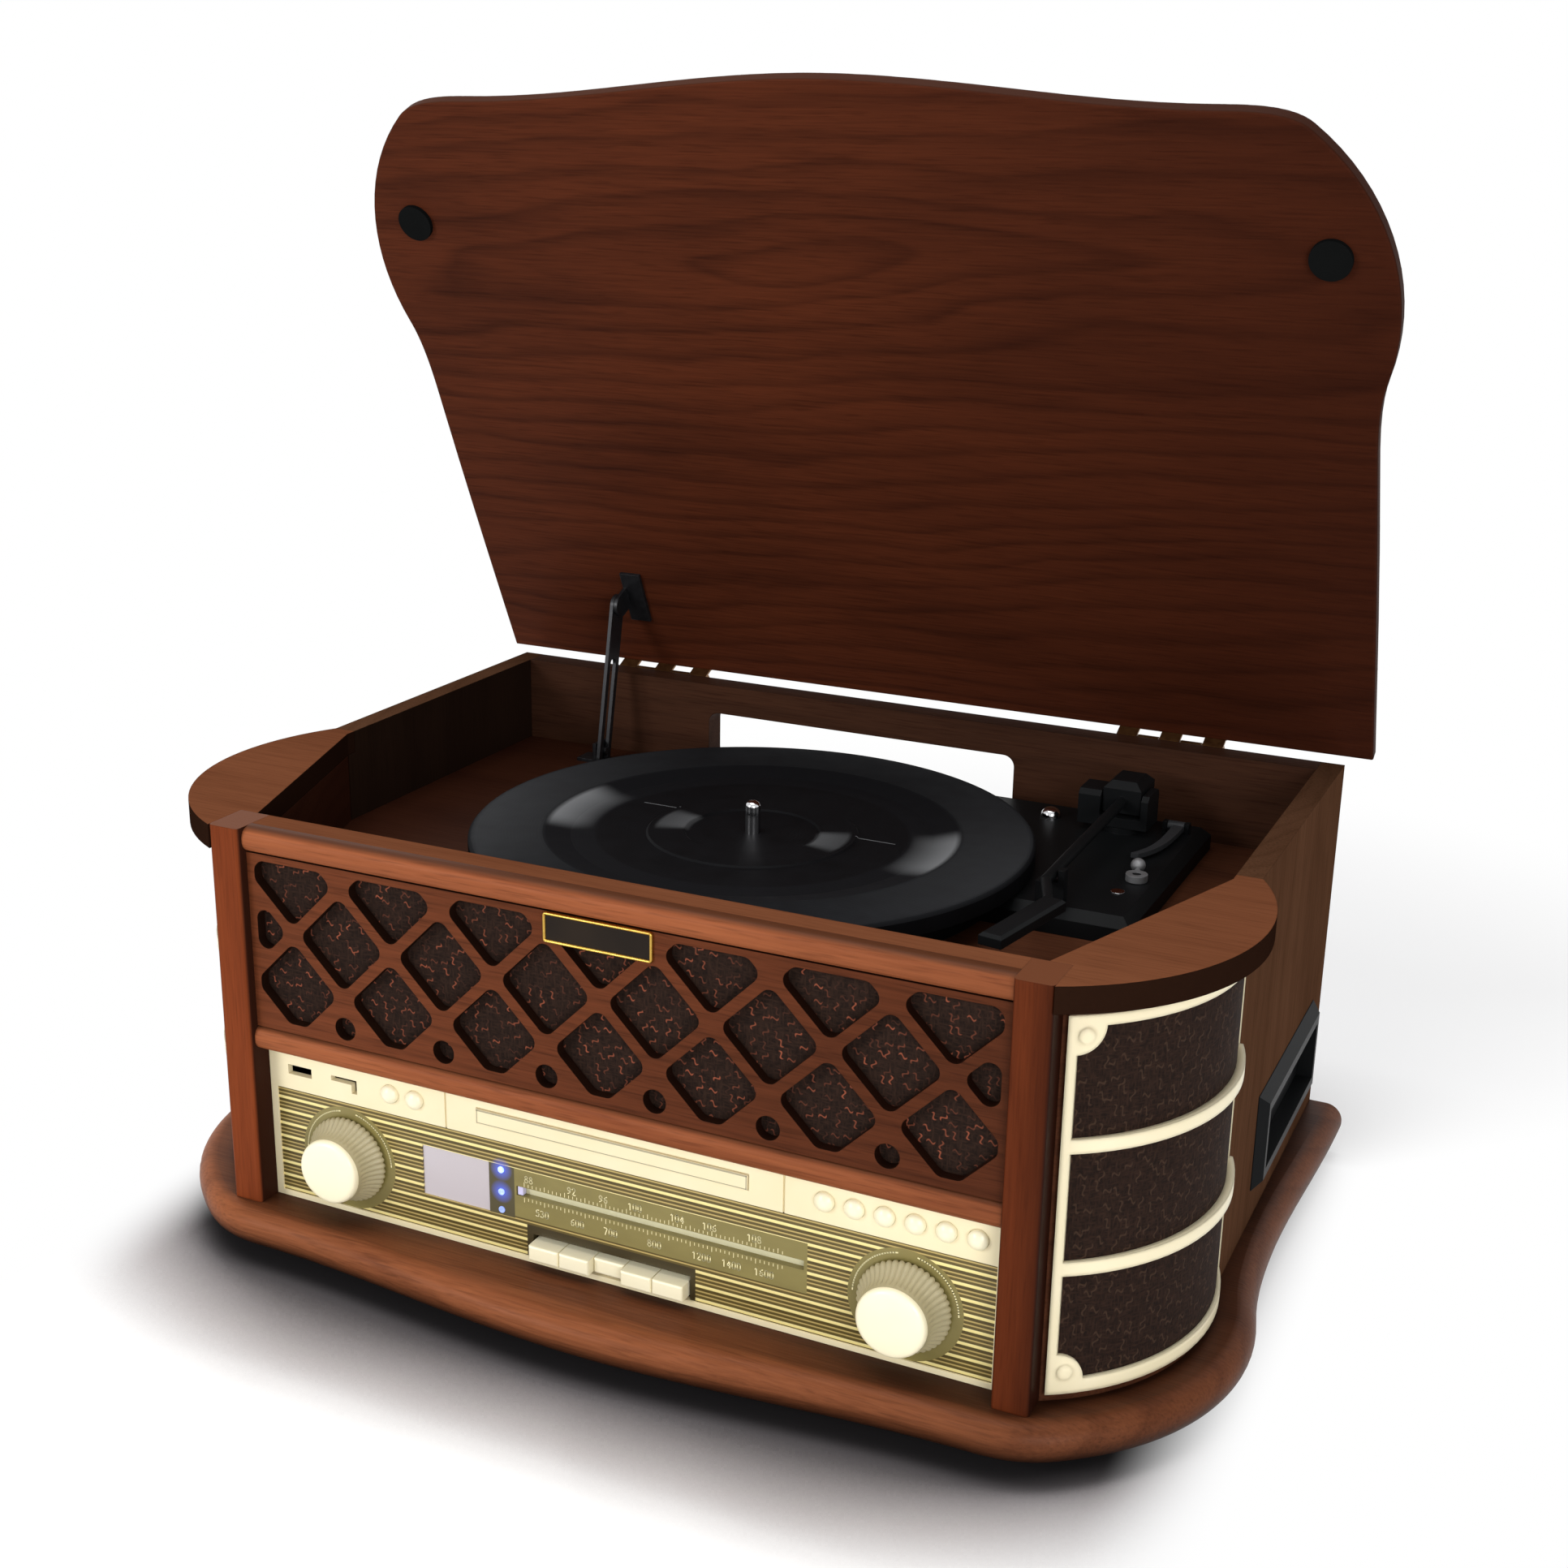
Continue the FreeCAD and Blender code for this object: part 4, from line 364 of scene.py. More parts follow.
@dataclass(frozen=True)
class GrilleCloth(Finish):
    """Woven loudspeaker cloth: dark threads with short S-shaped flecks of a lighter yarn."""

    ground: str = "#2e1f18"
    thread: str = "#1b120e"
    fleck: str = "#94503a"
    faint: str = "#35221b"
    far_fleck: str = "#4b382c"
    pick: float = 0.9
    cell: float = 5.4
    far_cell: float = 7.6
    front: float = -150.0
    wing: float = 186.0
    fold: float = 4.0

    def unrolled(self, tree: Tree) -> Source:
        """Cloth laid flat: across = x + (y - front) on the wings, which bend to the rear, and up = z.

        Args:
            tree: tree to add to.

        Returns:
            Place on the cloth in cells.
        """
        axes = add(tree, "SeparateXYZ", [self.place(tree)])
        side = add(tree, "MapRange", [axes.outputs["X"], -0.18, 0.18, -1.0])
        back = add(tree, "Math:SUBTRACT", [axes.outputs["Y"], self.front * MM])
        across = add(tree, "Math:MULTIPLY_ADD", [back, side, axes.outputs["X"]])
        flat = add(tree, "CombineXYZ", {"X": across, "Y": axes.outputs["Z"]})
        wide = add(tree, "Math:ABSOLUTE", [axes.outputs["X"]])
        count = add(tree, "MapRange", [wide, self.wing * MM, (self.wing + self.fold) * MM, 1 / (self.cell * MM),
                                       1 / (self.far_cell * MM)])
        return add(tree, "VectorMath:SCALE", {0: flat, "Scale": count})

    def curl(self, tree: Tree) -> tuple[Source, Source]:
        """One S-curve x = 0.13 sin(9 y), |y| < 0.34, in each cell, turned at random.

        Args:
            tree: tree to add to.

        Returns:
            The mask of the flecks and a random value for each of them.
        """
        flat = self.unrolled(tree)
        cells = add(tree, "TexVoronoi", {"Vector": flat, "Scale": 1.0, "Randomness": 0.8}, voronoi_dimensions="2D")
        local = add(tree, "VectorMath:SUBTRACT", [flat, cells.outputs["Position"]])
        chance = add(tree, "SeparateXYZ", [cells.outputs["Color"]])
        angle = add(tree, "Math:MULTIPLY", [chance.outputs["X"], 2 * math.pi])
        spun = add(tree, "VectorRotate", {"Vector": local, "Angle": angle}, rotation_type="Z_AXIS")
        axes = add(tree, "SeparateXYZ", [spun])
        phase = add(tree, "Math:MULTIPLY", [axes.outputs["Y"], 9.0])
        wave = add(tree, "Math:SINE", [phase])
        bend = add(tree, "Math:MULTIPLY_ADD", [wave, -0.13, axes.outputs["X"]])
        off = add(tree, "Math:ABSOLUTE", [bend])
        line = add(tree, "MapRange", [off, 0.03, 0.1, 1.0, 0.0])
        run = add(tree, "Math:ABSOLUTE", [axes.outputs["Y"]])
        ends = add(tree, "MapRange", [run, 0.3, 0.37, 1.0, 0.0])
        mask = add(tree, "Math:MULTIPLY", [line, ends])
        return mask, chance.outputs["Y"]

    def shade(self, tree: Tree, shader: Node) -> None:
        """Threads from two noises at the thread pitch, flecks over them, fainter on the wings."""
        weft = self.speckle(tree, (1 / (4 * self.pick * MM), 1 / (4 * self.pick * MM), 1 / (self.pick * MM)), 1.0)
        warp = self.speckle(tree, (1 / (self.pick * MM), 1 / (self.pick * MM), 1 / (4 * self.pick * MM)), 1.0)
        weave = add(tree, "Math:MAXIMUM", [weft, warp])
        spread = add(tree, "MapRange", [weave, 0.4, 0.72])
        cloth = add(tree, "Mix", {0: spread, 6: self.thread, 7: self.ground})
        curl, chance = self.curl(tree)
        bright = add(tree, "Math:POWER", [chance, 1.8])
        yarn = add(tree, "Mix", {0: bright, 6: self.faint, 7: self.fleck})
        wide = add(tree, "Math:ABSOLUTE", [add(tree, "SeparateXYZ", [self.place(tree)]).outputs["X"]])
        far = add(tree, "MapRange", [wide, self.wing * MM, (self.wing + self.fold) * MM])
        dull = add(tree, "Mix", {0: far, 6: yarn, 7: self.far_fleck})
        share = add(tree, "Math:MULTIPLY_ADD", [far, -0.4, 0.92])
        mask = add(tree, "Math:MULTIPLY", [curl, share])
        colour = add(tree, "Mix", {0: mask, 6: cloth, 7: dull})
        lift = add(tree, "Math:MULTIPLY_ADD", [curl, 0.6, weave])
        bump = add(tree, "Bump", {"Height": lift, "Strength": 0.5, "Distance": 0.0005})
        link(tree, shader, {"Base Color": colour, "Normal": bump, "Roughness": 0.9, "Specular IOR Level": 0.1})


@dataclass(frozen=True)
class StripedDial(Finish):
    """Screen-printed dial: one broad and two fine lines in each step, plain fields where things sit."""

    knobs: tuple[Pair, ...] = ()
    lamps: tuple[Pair, ...] = ()
    plain: tuple[Four, ...] = ()
    column: Four = (0.0, 0.0, 0.0, 0.0)
    shelf: Four = (0.0, 0.0, 0.0, 0.0)
    step: float = 6.5
    foot: float = 28.5
    disc: float = 24.6

    def inside(self, tree: Tree, x: Source, z: Source, box: Four) -> Source:
        """One inside a rectangle of the dial, zero outside.

        Args:
            tree: tree to add to.
            x: horizontal place.
            z: height.
            box: left, right, low and high in millimetres.

        Returns:
            The mask.
        """
        sides = []
        for value, low, high in ((x, box[0], box[1]), (z, box[2], box[3])):
            sides.append(add(tree, "Math:COMPARE", [value, (low + high) / 2 * MM, (high - low) / 2 * MM]))
        return add(tree, "Math:MULTIPLY", [sides[0], sides[1]])

    def near(self, tree: Tree, x: Source, z: Source, at: Pair, radius: float, fade: float) -> Source:
        """One within a circle of the dial, falling to zero over the fade.

        Args:
            tree: tree to add to.
            x: horizontal place.
            z: height.
            at: centre in millimetres.
            radius: radius in millimetres.
            fade: width of the soft rim in millimetres.

        Returns:
            The mask.
        """
        spot = add(tree, "CombineXYZ", {"X": x, "Z": z})
        far = add(tree, "VectorMath:DISTANCE", [spot, (at[0] * MM, 0.0, at[1] * MM)])
        return add(tree, "MapRange", [far, radius * MM, (radius + fade) * MM, 1.0, 0.0])

    def shade(self, tree: Tree, shader: Node) -> None:
        """Lines from the height, then the plain fields, discs and lamp column, and a painted glow of the lamps over
        them.
        """
        axes = add(tree, "SeparateXYZ", [self.place(tree)])
        x, z = axes.outputs["X"], axes.outputs["Z"]
        up = add(tree, "Math:SUBTRACT", [z, self.foot * MM])
        steps = add(tree, "Math:MULTIPLY", [up, 1 / (self.step * MM)])
        phase = add(tree, "Math:FRACT", [steps])
        colour = add(tree, "ValToRGB", {"Fac": phase}, stops=(
            (0.0, "#544720"), (0.06, "#544720"), (0.09, "#f4e293"), (0.27, "#f8e9a4"), (0.30, "#5c4f27"),
            (0.47, "#66582c"), (0.49, "#bda665"), (0.57, "#bda665"), (0.59, "#544720"), (0.75, "#66582c"),
            (0.77, "#bda665"), (0.85, "#bda665"), (0.87, "#544720"), (1.0, "#544720")))
        cloud = self.speckle(tree, (60, 60, 120), 2.0)
        field_tone = add(tree, "Mix", {0: cloud, 6: "#93874f", 7: "#7b7040"})
        masks = [self.near(tree, x, z, knob, self.disc, 0.15) for knob in self.knobs]
        masks += [self.inside(tree, x, z, box) for box in self.plain]
        for mask in masks:
            colour = add(tree, "Mix", {0: mask, 6: colour, 7: field_tone})
        for box, code in ((self.column, "#544d33"), (self.shelf, "#3c331a")):
            dark = self.inside(tree, x, z, box)
            colour = add(tree, "Mix", {0: dark, 6: colour, 7: code})
        # Painted glow of the blue lamps on the print around them.
        for lamp in self.lamps:
            halo = self.near(tree, x, z, lamp, 1.4, 4.2)
            glow = add(tree, "Math:MULTIPLY", [halo, 0.8])
            colour = add(tree, "Mix", {0: glow, 6: colour, 7: "#5f74e8"})
        link(tree, shader, {"Base Color": colour})
        gloss = add(tree, "MapRange", [cloud, 0.0, 1.0, 0.3, 0.42])
        link(tree, shader, {"Roughness": gloss, "Metallic": 0.15})


@dataclass(frozen=True)
class GroovedPlatter(Finish):
    """Turned black moulding: an outer band and two sloped rings with highlights painted to both sides, and scribed
    lines.
    """

    centre: Pair = (0.0, 0.0)
    colour: str = "#121214"
    # Colour of the highlights painted on the band and rings; they turn with the platter.
    painted_shine: str = "#77797b"
    scribe: Triple = (46.0, 66.0, 15.0)
    reach: float = 140.0
    glint_fan: Pair = (0.93, 0.99)
    lean: float = -5.0
    groove: float = 1.5

    def line(self, tree: Tree, axes: Node) -> Source:
        """One on the two scribed lines beside the middle, zero off them.

        Args:
            tree: tree to add to.
            axes: node that gives the place from the platter's axis.

        Returns:
            The mask.
        """
        near, far, off = self.scribe
        wide = add(tree, "Math:ABSOLUTE", [axes.outputs["X"]])
        along = add(tree, "Math:COMPARE", [wide, (near + far) / 2 * MM, (far - near) / 2 * MM])
        across = add(tree, "Math:COMPARE", [axes.outputs["Y"], off * MM, 0.4 * MM])
        return add(tree, "Math:MULTIPLY", [along, across])

    def shade(self, tree: Tree, shader: Node) -> None:
        """Zones and slopes from the distance to the axis, painted highlights from the direction, fine rings as bump.
        """
        spot = add(tree, "VectorMath:SUBTRACT", [self.place(tree), (self.centre[0] * MM, self.centre[1] * MM, 0.0)])
        flat = add(tree, "VectorMath:MULTIPLY", [spot, (1.0, 1.0, 0.0)])
        reach = add(tree, "VectorMath:LENGTH", [flat])
        part = add(tree, "MapRange", [reach, 0.0, self.reach * MM])
        zone = add(tree, "ValToRGB", {"Fac": part}, stops=(
            (0.0, "#09090a"), (0.52, "#0b0b0c"), (0.53, "#141517"), (0.69, "#141517"), (0.7, "#191b1d"),
            (0.93, "#1c1e21"), (0.945, "#070708")))
        # Masks where highlights are painted: a sheen on the outer band and glints on the two sloped rings.
        band = add(tree, "ValToRGB", {"Fac": part}, stops=(
            (0.69, "#000000"), (0.71, "#505050"), (0.92, "#606060"), (0.94, "#000000")))
        slope = add(tree, "ValToRGB", {"Fac": part}, stops=(
            (0.21, "#000000"), (0.235, "#b0b0b0"), (0.32, "#909090"), (0.335, "#000000"), (0.53, "#000000"),
            (0.55, "#707070"), (0.68, "#ffffff"), (0.7, "#000000")))
        # The painted highlights are brightest along x turned by the lean: narrow on the rings, broad on the band.
        lean = add(tree, "Mapping", {"Vector": flat, "Rotation": (0.0, 0.0, math.radians(self.lean))})
        ways = add(tree, "SeparateXYZ", [add(tree, "VectorMath:NORMALIZE", [lean])])
        side = add(tree, "Math:ABSOLUTE", [ways.outputs["X"]])
        glint_fan = add(tree, "MapRange", [side, self.glint_fan[0], self.glint_fan[1]], interpolation_type="SMOOTHSTEP")
        wide = add(tree, "Math:POWER", [side, 3.0])
        glow = add(tree, "Math:MULTIPLY", [band, wide])
        painted_glint = add(tree, "Math:MULTIPLY_ADD", [slope, glint_fan, glow])
        scribe_and_glint = add(tree, "Math:MULTIPLY_ADD", [self.line(tree, add(tree, "SeparateXYZ", [flat])), 0.7, painted_glint])
        cloud = self.speckle(tree, (90, 90, 90), 3.0)
        base = add(tree, "Mix", {0: cloud, 6: zone, 7: self.colour})
        colour = add(tree, "Mix", {0: scribe_and_glint, 6: base, 7: self.painted_shine})
        gloss = add(tree, "MapRange", [cloud, 0.0, 1.0, 0.5, 0.6])
        rings = add(tree, "Math:MULTIPLY", [reach, 2 * math.pi / (self.groove * MM)])
        wave = add(tree, "Math:SINE", [rings])
        bump = add(tree, "Bump", {"Height": wave, "Strength": 0.04, "Distance": 0.0002})
        link(tree, shader, {"Specular IOR Level": 0.04, "Base Color": colour, "Roughness": gloss, "Normal": bump})


@dataclass(frozen=True)
class DisplayPane(Finish):
    """Clear acrylic panes: a pale grey-lilac polariser on the left, a cream tuning band on the right."""

    colour: str = "#c9c2c8"
    lower: str = "#bdb4b6"
    band: str = "#cfcaa6"
    band_from: float = -47.0

    def shade(self, tree: Tree, shader: Node) -> None:
        """A slow cloud between two close greys under a glossy coat."""
        cloud = self.speckle(tree, (20, 20, 40), 1.0)
        grey = add(tree, "Mix", {0: cloud, 6: self.colour, 7: self.lower})
        across = add(tree, "SeparateXYZ", [self.place(tree)]).outputs["X"]
        right = add(tree, "Math:GREATER_THAN", [across, self.band_from * MM])
        colour = add(tree, "Mix", {0: right, 6: grey, 7: self.band})
        link(tree, shader, {"Base Color": colour, "Roughness": 0.22, "Coat Weight": 0.4, "Coat Roughness": 0.05})


@dataclass(frozen=True)
class LampLens(Finish):
    """Clear acrylic lens lit from behind by a blue diode."""

    def shade(self, tree: Tree, shader: Node) -> None:
        """A glow that varies a little through the lens and is strongest in the topmost lamp."""
        cloud = self.speckle(tree, (900, 900, 900), 1.0)
        colour = add(tree, "Mix", {0: cloud, 6: "#b9ccff", 7: "#6f8dff"})
        link(tree, shader, {"Base Color": colour, "Emission Color": colour})
        height = add(tree, "SeparateXYZ", [self.place(tree)]).outputs["Z"]
        power = add(tree, "MapRange", [height, 0.048, 0.066, 0.25, 1.5])
        link(tree, shader, {"Emission Strength": power, "Roughness": 0.15})


@dataclass
class Patch:
    """A grid of points in millimetres that is one surface of two parameters."""

    points: np.ndarray
    wrap: bool = False
    finish: int = 0

    def faces(self, first: int) -> np.ndarray:
        """Corner numbers of the grid's quads; with wrap the last column joins the first.

        Args:
            first: number of the grid's first point in the mesh.

        Returns:
            One row of four corners for each quad.
        """
        rows, columns = self.points.shape[:2]
        index = first + np.arange(rows * columns).reshape(rows, columns)
        after = np.roll(index, -1, axis=1) if self.wrap else index[:, 1:]
        here = index if self.wrap else index[:, :-1]
        return np.stack([here[:-1], after[:-1], after[1:], here[1:]], axis=-1).reshape(-1, 4)


def skin(name: str, patches: Sequence[Patch], finishes: Sequence[Finish], body: str,
         hides: Iterable[str] = (), sharp: float = 40.0, closed: bool = True) -> bpy.types.Object:
    """Join grids into one mesh object that rides on a body.

    Args:
        name: name of the piece.
        patches: its surfaces.
        finishes: finishes, numbered as in the patches.
        body: body that it moves with.
        hides: solids that it stands for.
        sharp: angle in degrees above which an edge stays sharp.
        closed: whether it is a closed shell whose faces are turned outwards.

    Returns:
        The new object.
    """
    points = np.concatenate([p.points.reshape(-1, 3) for p in patches]) * MM
    starts = np.cumsum([0] + [p.points.shape[0] * p.points.shape[1] for p in patches])
    quads = [p.faces(int(s)) for p, s in zip(patches, starts)]
    marks = np.concatenate([np.full(len(q), p.finish) for p, q in zip(patches, quads)])
    mesh = bpy.data.meshes.new(name)
    mesh.from_pydata(points.tolist(), [], np.concatenate(quads).tolist())
    mesh.polygons.foreach_set("material_index", marks.astype(np.int32))
    for finish in finishes:
        mesh.materials.append(finish.material())
    work = bmesh.new()
    work.from_mesh(mesh)
    bmesh.ops.remove_doubles(work, verts=work.verts, dist=0.002 * MM)
    bmesh.ops.dissolve_degenerate(work, edges=work.edges, dist=0.001 * MM)
    if closed:
        bmesh.ops.recalc_face_normals(work, faces=work.faces)
    work.to_mesh(mesh)
    work.free()
    mesh.shade_smooth()
    mesh.set_sharp_from_angle(angle=math.radians(sharp))
    piece = bpy.data.objects.new(name, mesh)
    bpy.context.scene.collection.objects.link(piece)
    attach(piece, body)
    hidden = tuple(hides)
    if hidden:
        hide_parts(*hidden)
    LOG.info("%s: %d faces on %s", name, len(mesh.polygons), body)
    return piece


def corner(node: str) -> tuple[np.ndarray, np.ndarray]:
    """Lowest and highest corner of a solid in millimetres.

    Args:
        node: name of the solid's node.

    Returns:
        The two corners.
    """
    low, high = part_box(node)
    return np.array(low) / MM, np.array(high) / MM


def turned(profile: np.ndarray, around: np.ndarray, centre: Sequence[float], swell: np.ndarray | None = None
           ) -> np.ndarray:
    """Carry a profile round an axis that points along +Y.

    Point = centre + (r cos a, d, r sin a), where r is the profile radius plus the swell and d its depth.

    Args:
        profile: rows of radius and depth.
        around: angles.
        centre: axis point at depth zero.
        swell: radius added for each row and angle.

    Returns:
        Grid of points.
    """
    radius = profile[:, :1] + (0 if swell is None else swell)
    radius = np.broadcast_to(radius, (len(profile), len(around)))
    depth = np.broadcast_to(profile[:, 1:], radius.shape)
    ring = np.stack([radius * np.cos(around), depth, radius * np.sin(around)], axis=-1)
    return ring + np.asarray(centre, float)


def eased(points: Sequence[Pair], count: int) -> np.ndarray:
    """Round a profile's corners: even steps along it, smoothed twice with its ends kept.

    Args:
        points: corners of the profile.
        count: points in the result.

    Returns:
        Rows of the two profile values.
    """
    line = np.asarray(points, float)
    run = np.concatenate([[0], np.cumsum(np.hypot(*np.diff(line, axis=0).T))])
    even = np.linspace(0, run[-1], count)
    out = np.stack([np.interp(even, run, line[:, 0]), np.interp(even, run, line[:, 1])], axis=1)
    for _ in range(2):
        out[1:-1] = (out[:-2] + 2 * out[1:-1] + out[2:]) / 4
    return out


def strokes(lines: Sequence[np.ndarray], width: float, depth: float) -> np.ndarray:
    """Flat ribbons along polylines on a plane facing the front.

    Each segment from a to b becomes the four corners a -+ w n and b -+ w n, with n the segment's normal and w
    half the width. It is drawn out by 0.4 widths at both ends.

    Args:
        lines: polylines of x and z.
        width: ribbon width.
        depth: y of the plane.

    Returns:
        One 2 by 2 grid for each segment.
    """
    start = np.concatenate([line[:-1] for line in lines])
    end = np.concatenate([line[1:] for line in lines])
    along = end - start
    along = along / np.maximum(np.linalg.norm(along, axis=1, keepdims=True), 1e-9)
    side = np.stack([-along[:, 1], along[:, 0]], axis=1) * width / 2
    start = start - along * width * 0.4
    end = end + along * width * 0.4
    flat = np.stack([np.stack([start - side, end - side], 1), np.stack([start + side, end + side], 1)], 1)
    y = np.full(flat.shape[:-1] + (1,), depth)
    return np.concatenate([flat[..., :1], y, flat[..., 1:]], axis=-1)


class Palette:
    """The finishes of this object, each made once."""

    # Woods: end, the x ranges, inner and the corner reach are painted shade; cap on the front rails is painted shade
    # too.
    lid = LacqueredWood("Lacquered mahogany, lid", "mahogany_wood", pith=(0, 92, 462), slant=(0, 0, 8),
                        early="#572a18", late="#36190f", band=13.0, sway=60.0, depth=0.42, pores=0.25, rough=0.5,
                        gloss=0.02, face=(0.0, -0.9026, -0.4305), end="#3c1f12", painted_shade_x=((-40, 240, 0.6),))
    front = LacqueredWood("Lacquered mahogany, front rails", "trim_wood", pith=(0, -300, 60), early="#9c5a38",
                          late="#713b23", band=8.0, depth=0.3, pores=0.25, gloss=0.05, cap="#452819",
                          painted_shade_x=((20, 190, 0.3),))
    fret = LacqueredWood("Lacquered mahogany, lattice", "trim_wood", pith=(0, -120, 40), early="#6f3b23",
                         late="#4b2716", band=7.0, depth=0.3, pores=0.3, gloss=0.04, edge=0.6, face=(0.0, 1.0, 0.0),
                         end="#150c08", painted_shade_x=((-100, 180, 0.45),))
    post = LacqueredWood("Lacquered mahogany, posts", "mahogany_wood", grain=Grain.ALONG_Z, pith=(60, 200, 0),
                         early="#7e3c1e", late="#5b2813", band=11.0, depth=0.25, pores=0.15, gloss=0.03,
                         cap="#6d412b", face=(0.0, 1.0, 0.0), end="#2a160f",
                         painted_shade_x=((-150, 150, 0.4), (180, 190, 0.6)))
    plinth = LacqueredWood("Lacquered mahogany, plinth", "mahogany_wood", pith=(0, 40, -220), early="#985a38",
                           late="#65371f", pore="#1a0d08", band=12.0, depth=0.35, pores=0.2, rough=0.4, gloss=0.07,
                           painted_shade_x=((40, 230, 0.5),), painted_nook_shade=42.0)
    wing = LacqueredWood("Lacquered mahogany, wings", "mahogany_wood", pith=(0, 120, 20), early="#75472f",
                         late="#5f3723", band=12.0, depth=0.2, pores=0.15, gloss=0.0, face=(0.0, 0.0, 1.0),
                         end="#1b100b")
    wall = LacqueredWood("Lacquered mahogany, side walls", "mahogany_wood", grain=Grain.ALONG_Z,
                         pith=(90, 140, 0), early="#5c3f2d", late="#442c1d", pore="#0e0a09", band=10.0, depth=0.25,
                         pores=0.2, gloss=0.0, rough=0.6, inner=0.85)
    rear = LacqueredWood("Lacquered mahogany, rear board", "mahogany_wood", pith=(0, 400, 60), early="#452b1e",
                         late="#2e1c14", band=11.0, depth=0.3, pores=0.3, gloss=0.02, rough=0.5)
    well = LacqueredWood("Stained plywood, record well", "board_wood", pith=(0, 30, -80), early="#5a3523",
                         late="#3a2117", band=14.0, depth=0.4, pores=0.3, gloss=0.02, rough=0.5,
                         painted_shade_x=((40, -200, 0.75),))
    cream = MouldedPlastic("Cream ABS", "cream_plastic", colour="#f5e9c6", shade_to="#ecdeb2")
    ivory = MouldedPlastic("Ivory ABS", "cream_plastic", colour="#fff8da", shade_to="#faf0cb", rough=0.3)
    frame = MouldedPlastic("Cream ABS, speaker frames", "cream_plastic", colour="#f7ebca", shade_to="#f0e3bb",
                           edge=2.8)
    beige = MouldedPlastic("Grey-beige ABS", "cream_plastic", colour="#b9af8d", shade_to="#a89d7a", rough=0.42)
    # Painted shade of the groove round the disc tray's front.
    shadow = MouldedPlastic("Moulded line", "cream_plastic", colour="#b5ac8e", shade_to="#a39a7c", rough=0.5)
    black = MouldedPlastic("Black ABS", "black_plastic", colour="#0e0f10", shade_to="#141516", rough=0.42,
                           bump=0.08, gloss=0.06)
    grey = MouldedPlastic("Dark grey ABS", "black_plastic", colour="#2b2c2e", shade_to="#37383a", rough=0.45,
                          gloss=0.15)
    rubber = MouldedPlastic("Black rubber", "soft_rubber", colour="#0b0c0c", shade_to="#111212", rough=0.75,
                            bump=0.15, gloss=0.02)
    cloth = GrilleCloth("Loudspeaker cloth", "speaker_cloth")
    brass = Metal("Brass", "gold_trim", colour="#d9b45c", worn="#b98f3c", rough=0.28)
    enamel = MouldedPlastic("Black enamel", "gold_trim", colour="#14100d", shade_to="#2c2117", rough=0.4, grit=2.2,
                            gloss=0.1)
    dial = StripedDial("Printed dial", "dial_print", knobs=((-133.5, 53.0), (133.5, 53.0)),
                       lamps=((-53.5, 66.7), (-53.5, 56.1)), plain=((-47.0, 91.0, 46.0, 69.0),),
                       column=(-59.7, -47.0, 45.0, 69.0), shelf=(-41.0, 40.5, 28.0, 43.6))
    ink = MouldedPlastic("Yellow dial ink", "dial_print", colour="#f7edbe", shade_to="#efe2a6", rough=0.5)
    pane = DisplayPane("Display pane", "clear_pane")
    lens = LampLens("Blue lamp lens", "blue_lens")
    steel = Metal("Zinc-plated steel", "bare_steel", colour="#a9a9ab", worn="#8c8c90", rough=0.35)
    driver = Metal("Black stamped steel", "driver_steel", colour="#2a2a2c", worn="#3a3a3c", rough=0.5)
    chrome = Metal("Chromed steel", "chrome_trim", rough=0.1)
    satin = Metal("Satin nickel", "chrome_trim", colour="#8f8f90", worn="#7b7b7d", rough=0.6)
    laminate = MouldedPlastic("Glass-fibre circuit laminate", "circuit_board", colour="#2d5a3a",
                              shade_to="#24492f", grit=1.4)
    bronze = Metal("Bronzed steel", "bronze_hinge", colour="#6b4a2e", worn="#8f6a42", rough=0.4)
    blacked = Metal("Blacked steel", "black_metal", colour="#1b1b1c", worn="#303033", rough=0.38, metallic=0.6)
    pointer = MouldedPlastic("Pale pointer acrylic", "pale_pointer", colour="#d5d0ee", shade_to="#c2bde6", rough=0.3)
    platter = GroovedPlatter("Turned black platter", "black_plastic", centre=(-10.4, 8.776))


@dataclass
class Cabinet:
    """Case and works: the solids by finish; buttons and keys, which are not listed, are ivory."""

    finishes: dict[str, str] = field(default_factory=lambda: {
        "lid": "lid_panel",
        "front": "front_mouldings",
        "fret": "grille_fret",
        "post": "front_posts",
        "plinth": "plinth_base",
        "wing": "top_frame",
        "wall": "side_walls",
        "rear": "rear_panel",
        "well": "well_boards speaker_baffles",
        "cloth": "grille_cloths",
        "frame": "speaker_frames",
        "driver": "speaker_drivers",
        "rubber": "rubber_feet lid_bumpers drive_belt",
        "cream": "radio_fascia cd_tray volume_knob tuning_knob",
        "dial": "dial_plate",
        "pane": "display_windows",
        "lens": "indicator_lenses",
        "pointer": "dial_pointer",
        "black": ("cd_mechanism mains_inlet cassette_bezel cassette_door cassette_mechanism turntable_deck "
                  "tonearm_gimbal tonearm"),
        "laminate": "main_circuit_board",
        "steel": "power_transformer drive_motor motor_pulley",
        "platter": "platter",
        "chrome": "platter_spindle fixing_screws",
        "grey": "cue_lever",
        "satin": "speed_selector",
        "bronze": "lid_hinge_leaves cabinet_hinge_leaves",
        "blacked": "stay_lid_bracket stay_arm stay_guide",
        "enamel": "badge_plate",
    })

    def dress(self, nodes: dict[str, bpy.types.Object]) -> None:
        """Give every solid its finish.

        Args:
            nodes: the frame's solids by name.
        """
        chosen = {name: getattr(Palette, finish) for finish, names in self.finishes.items() for name in names.split()}
        for name, solid in nodes.items():
            finish = chosen.get(name, Palette.ivory)
            solid.data.materials.clear()
            solid.data.materials.append(finish.material())
            LOG.info("%s: %s", name, finish.name)


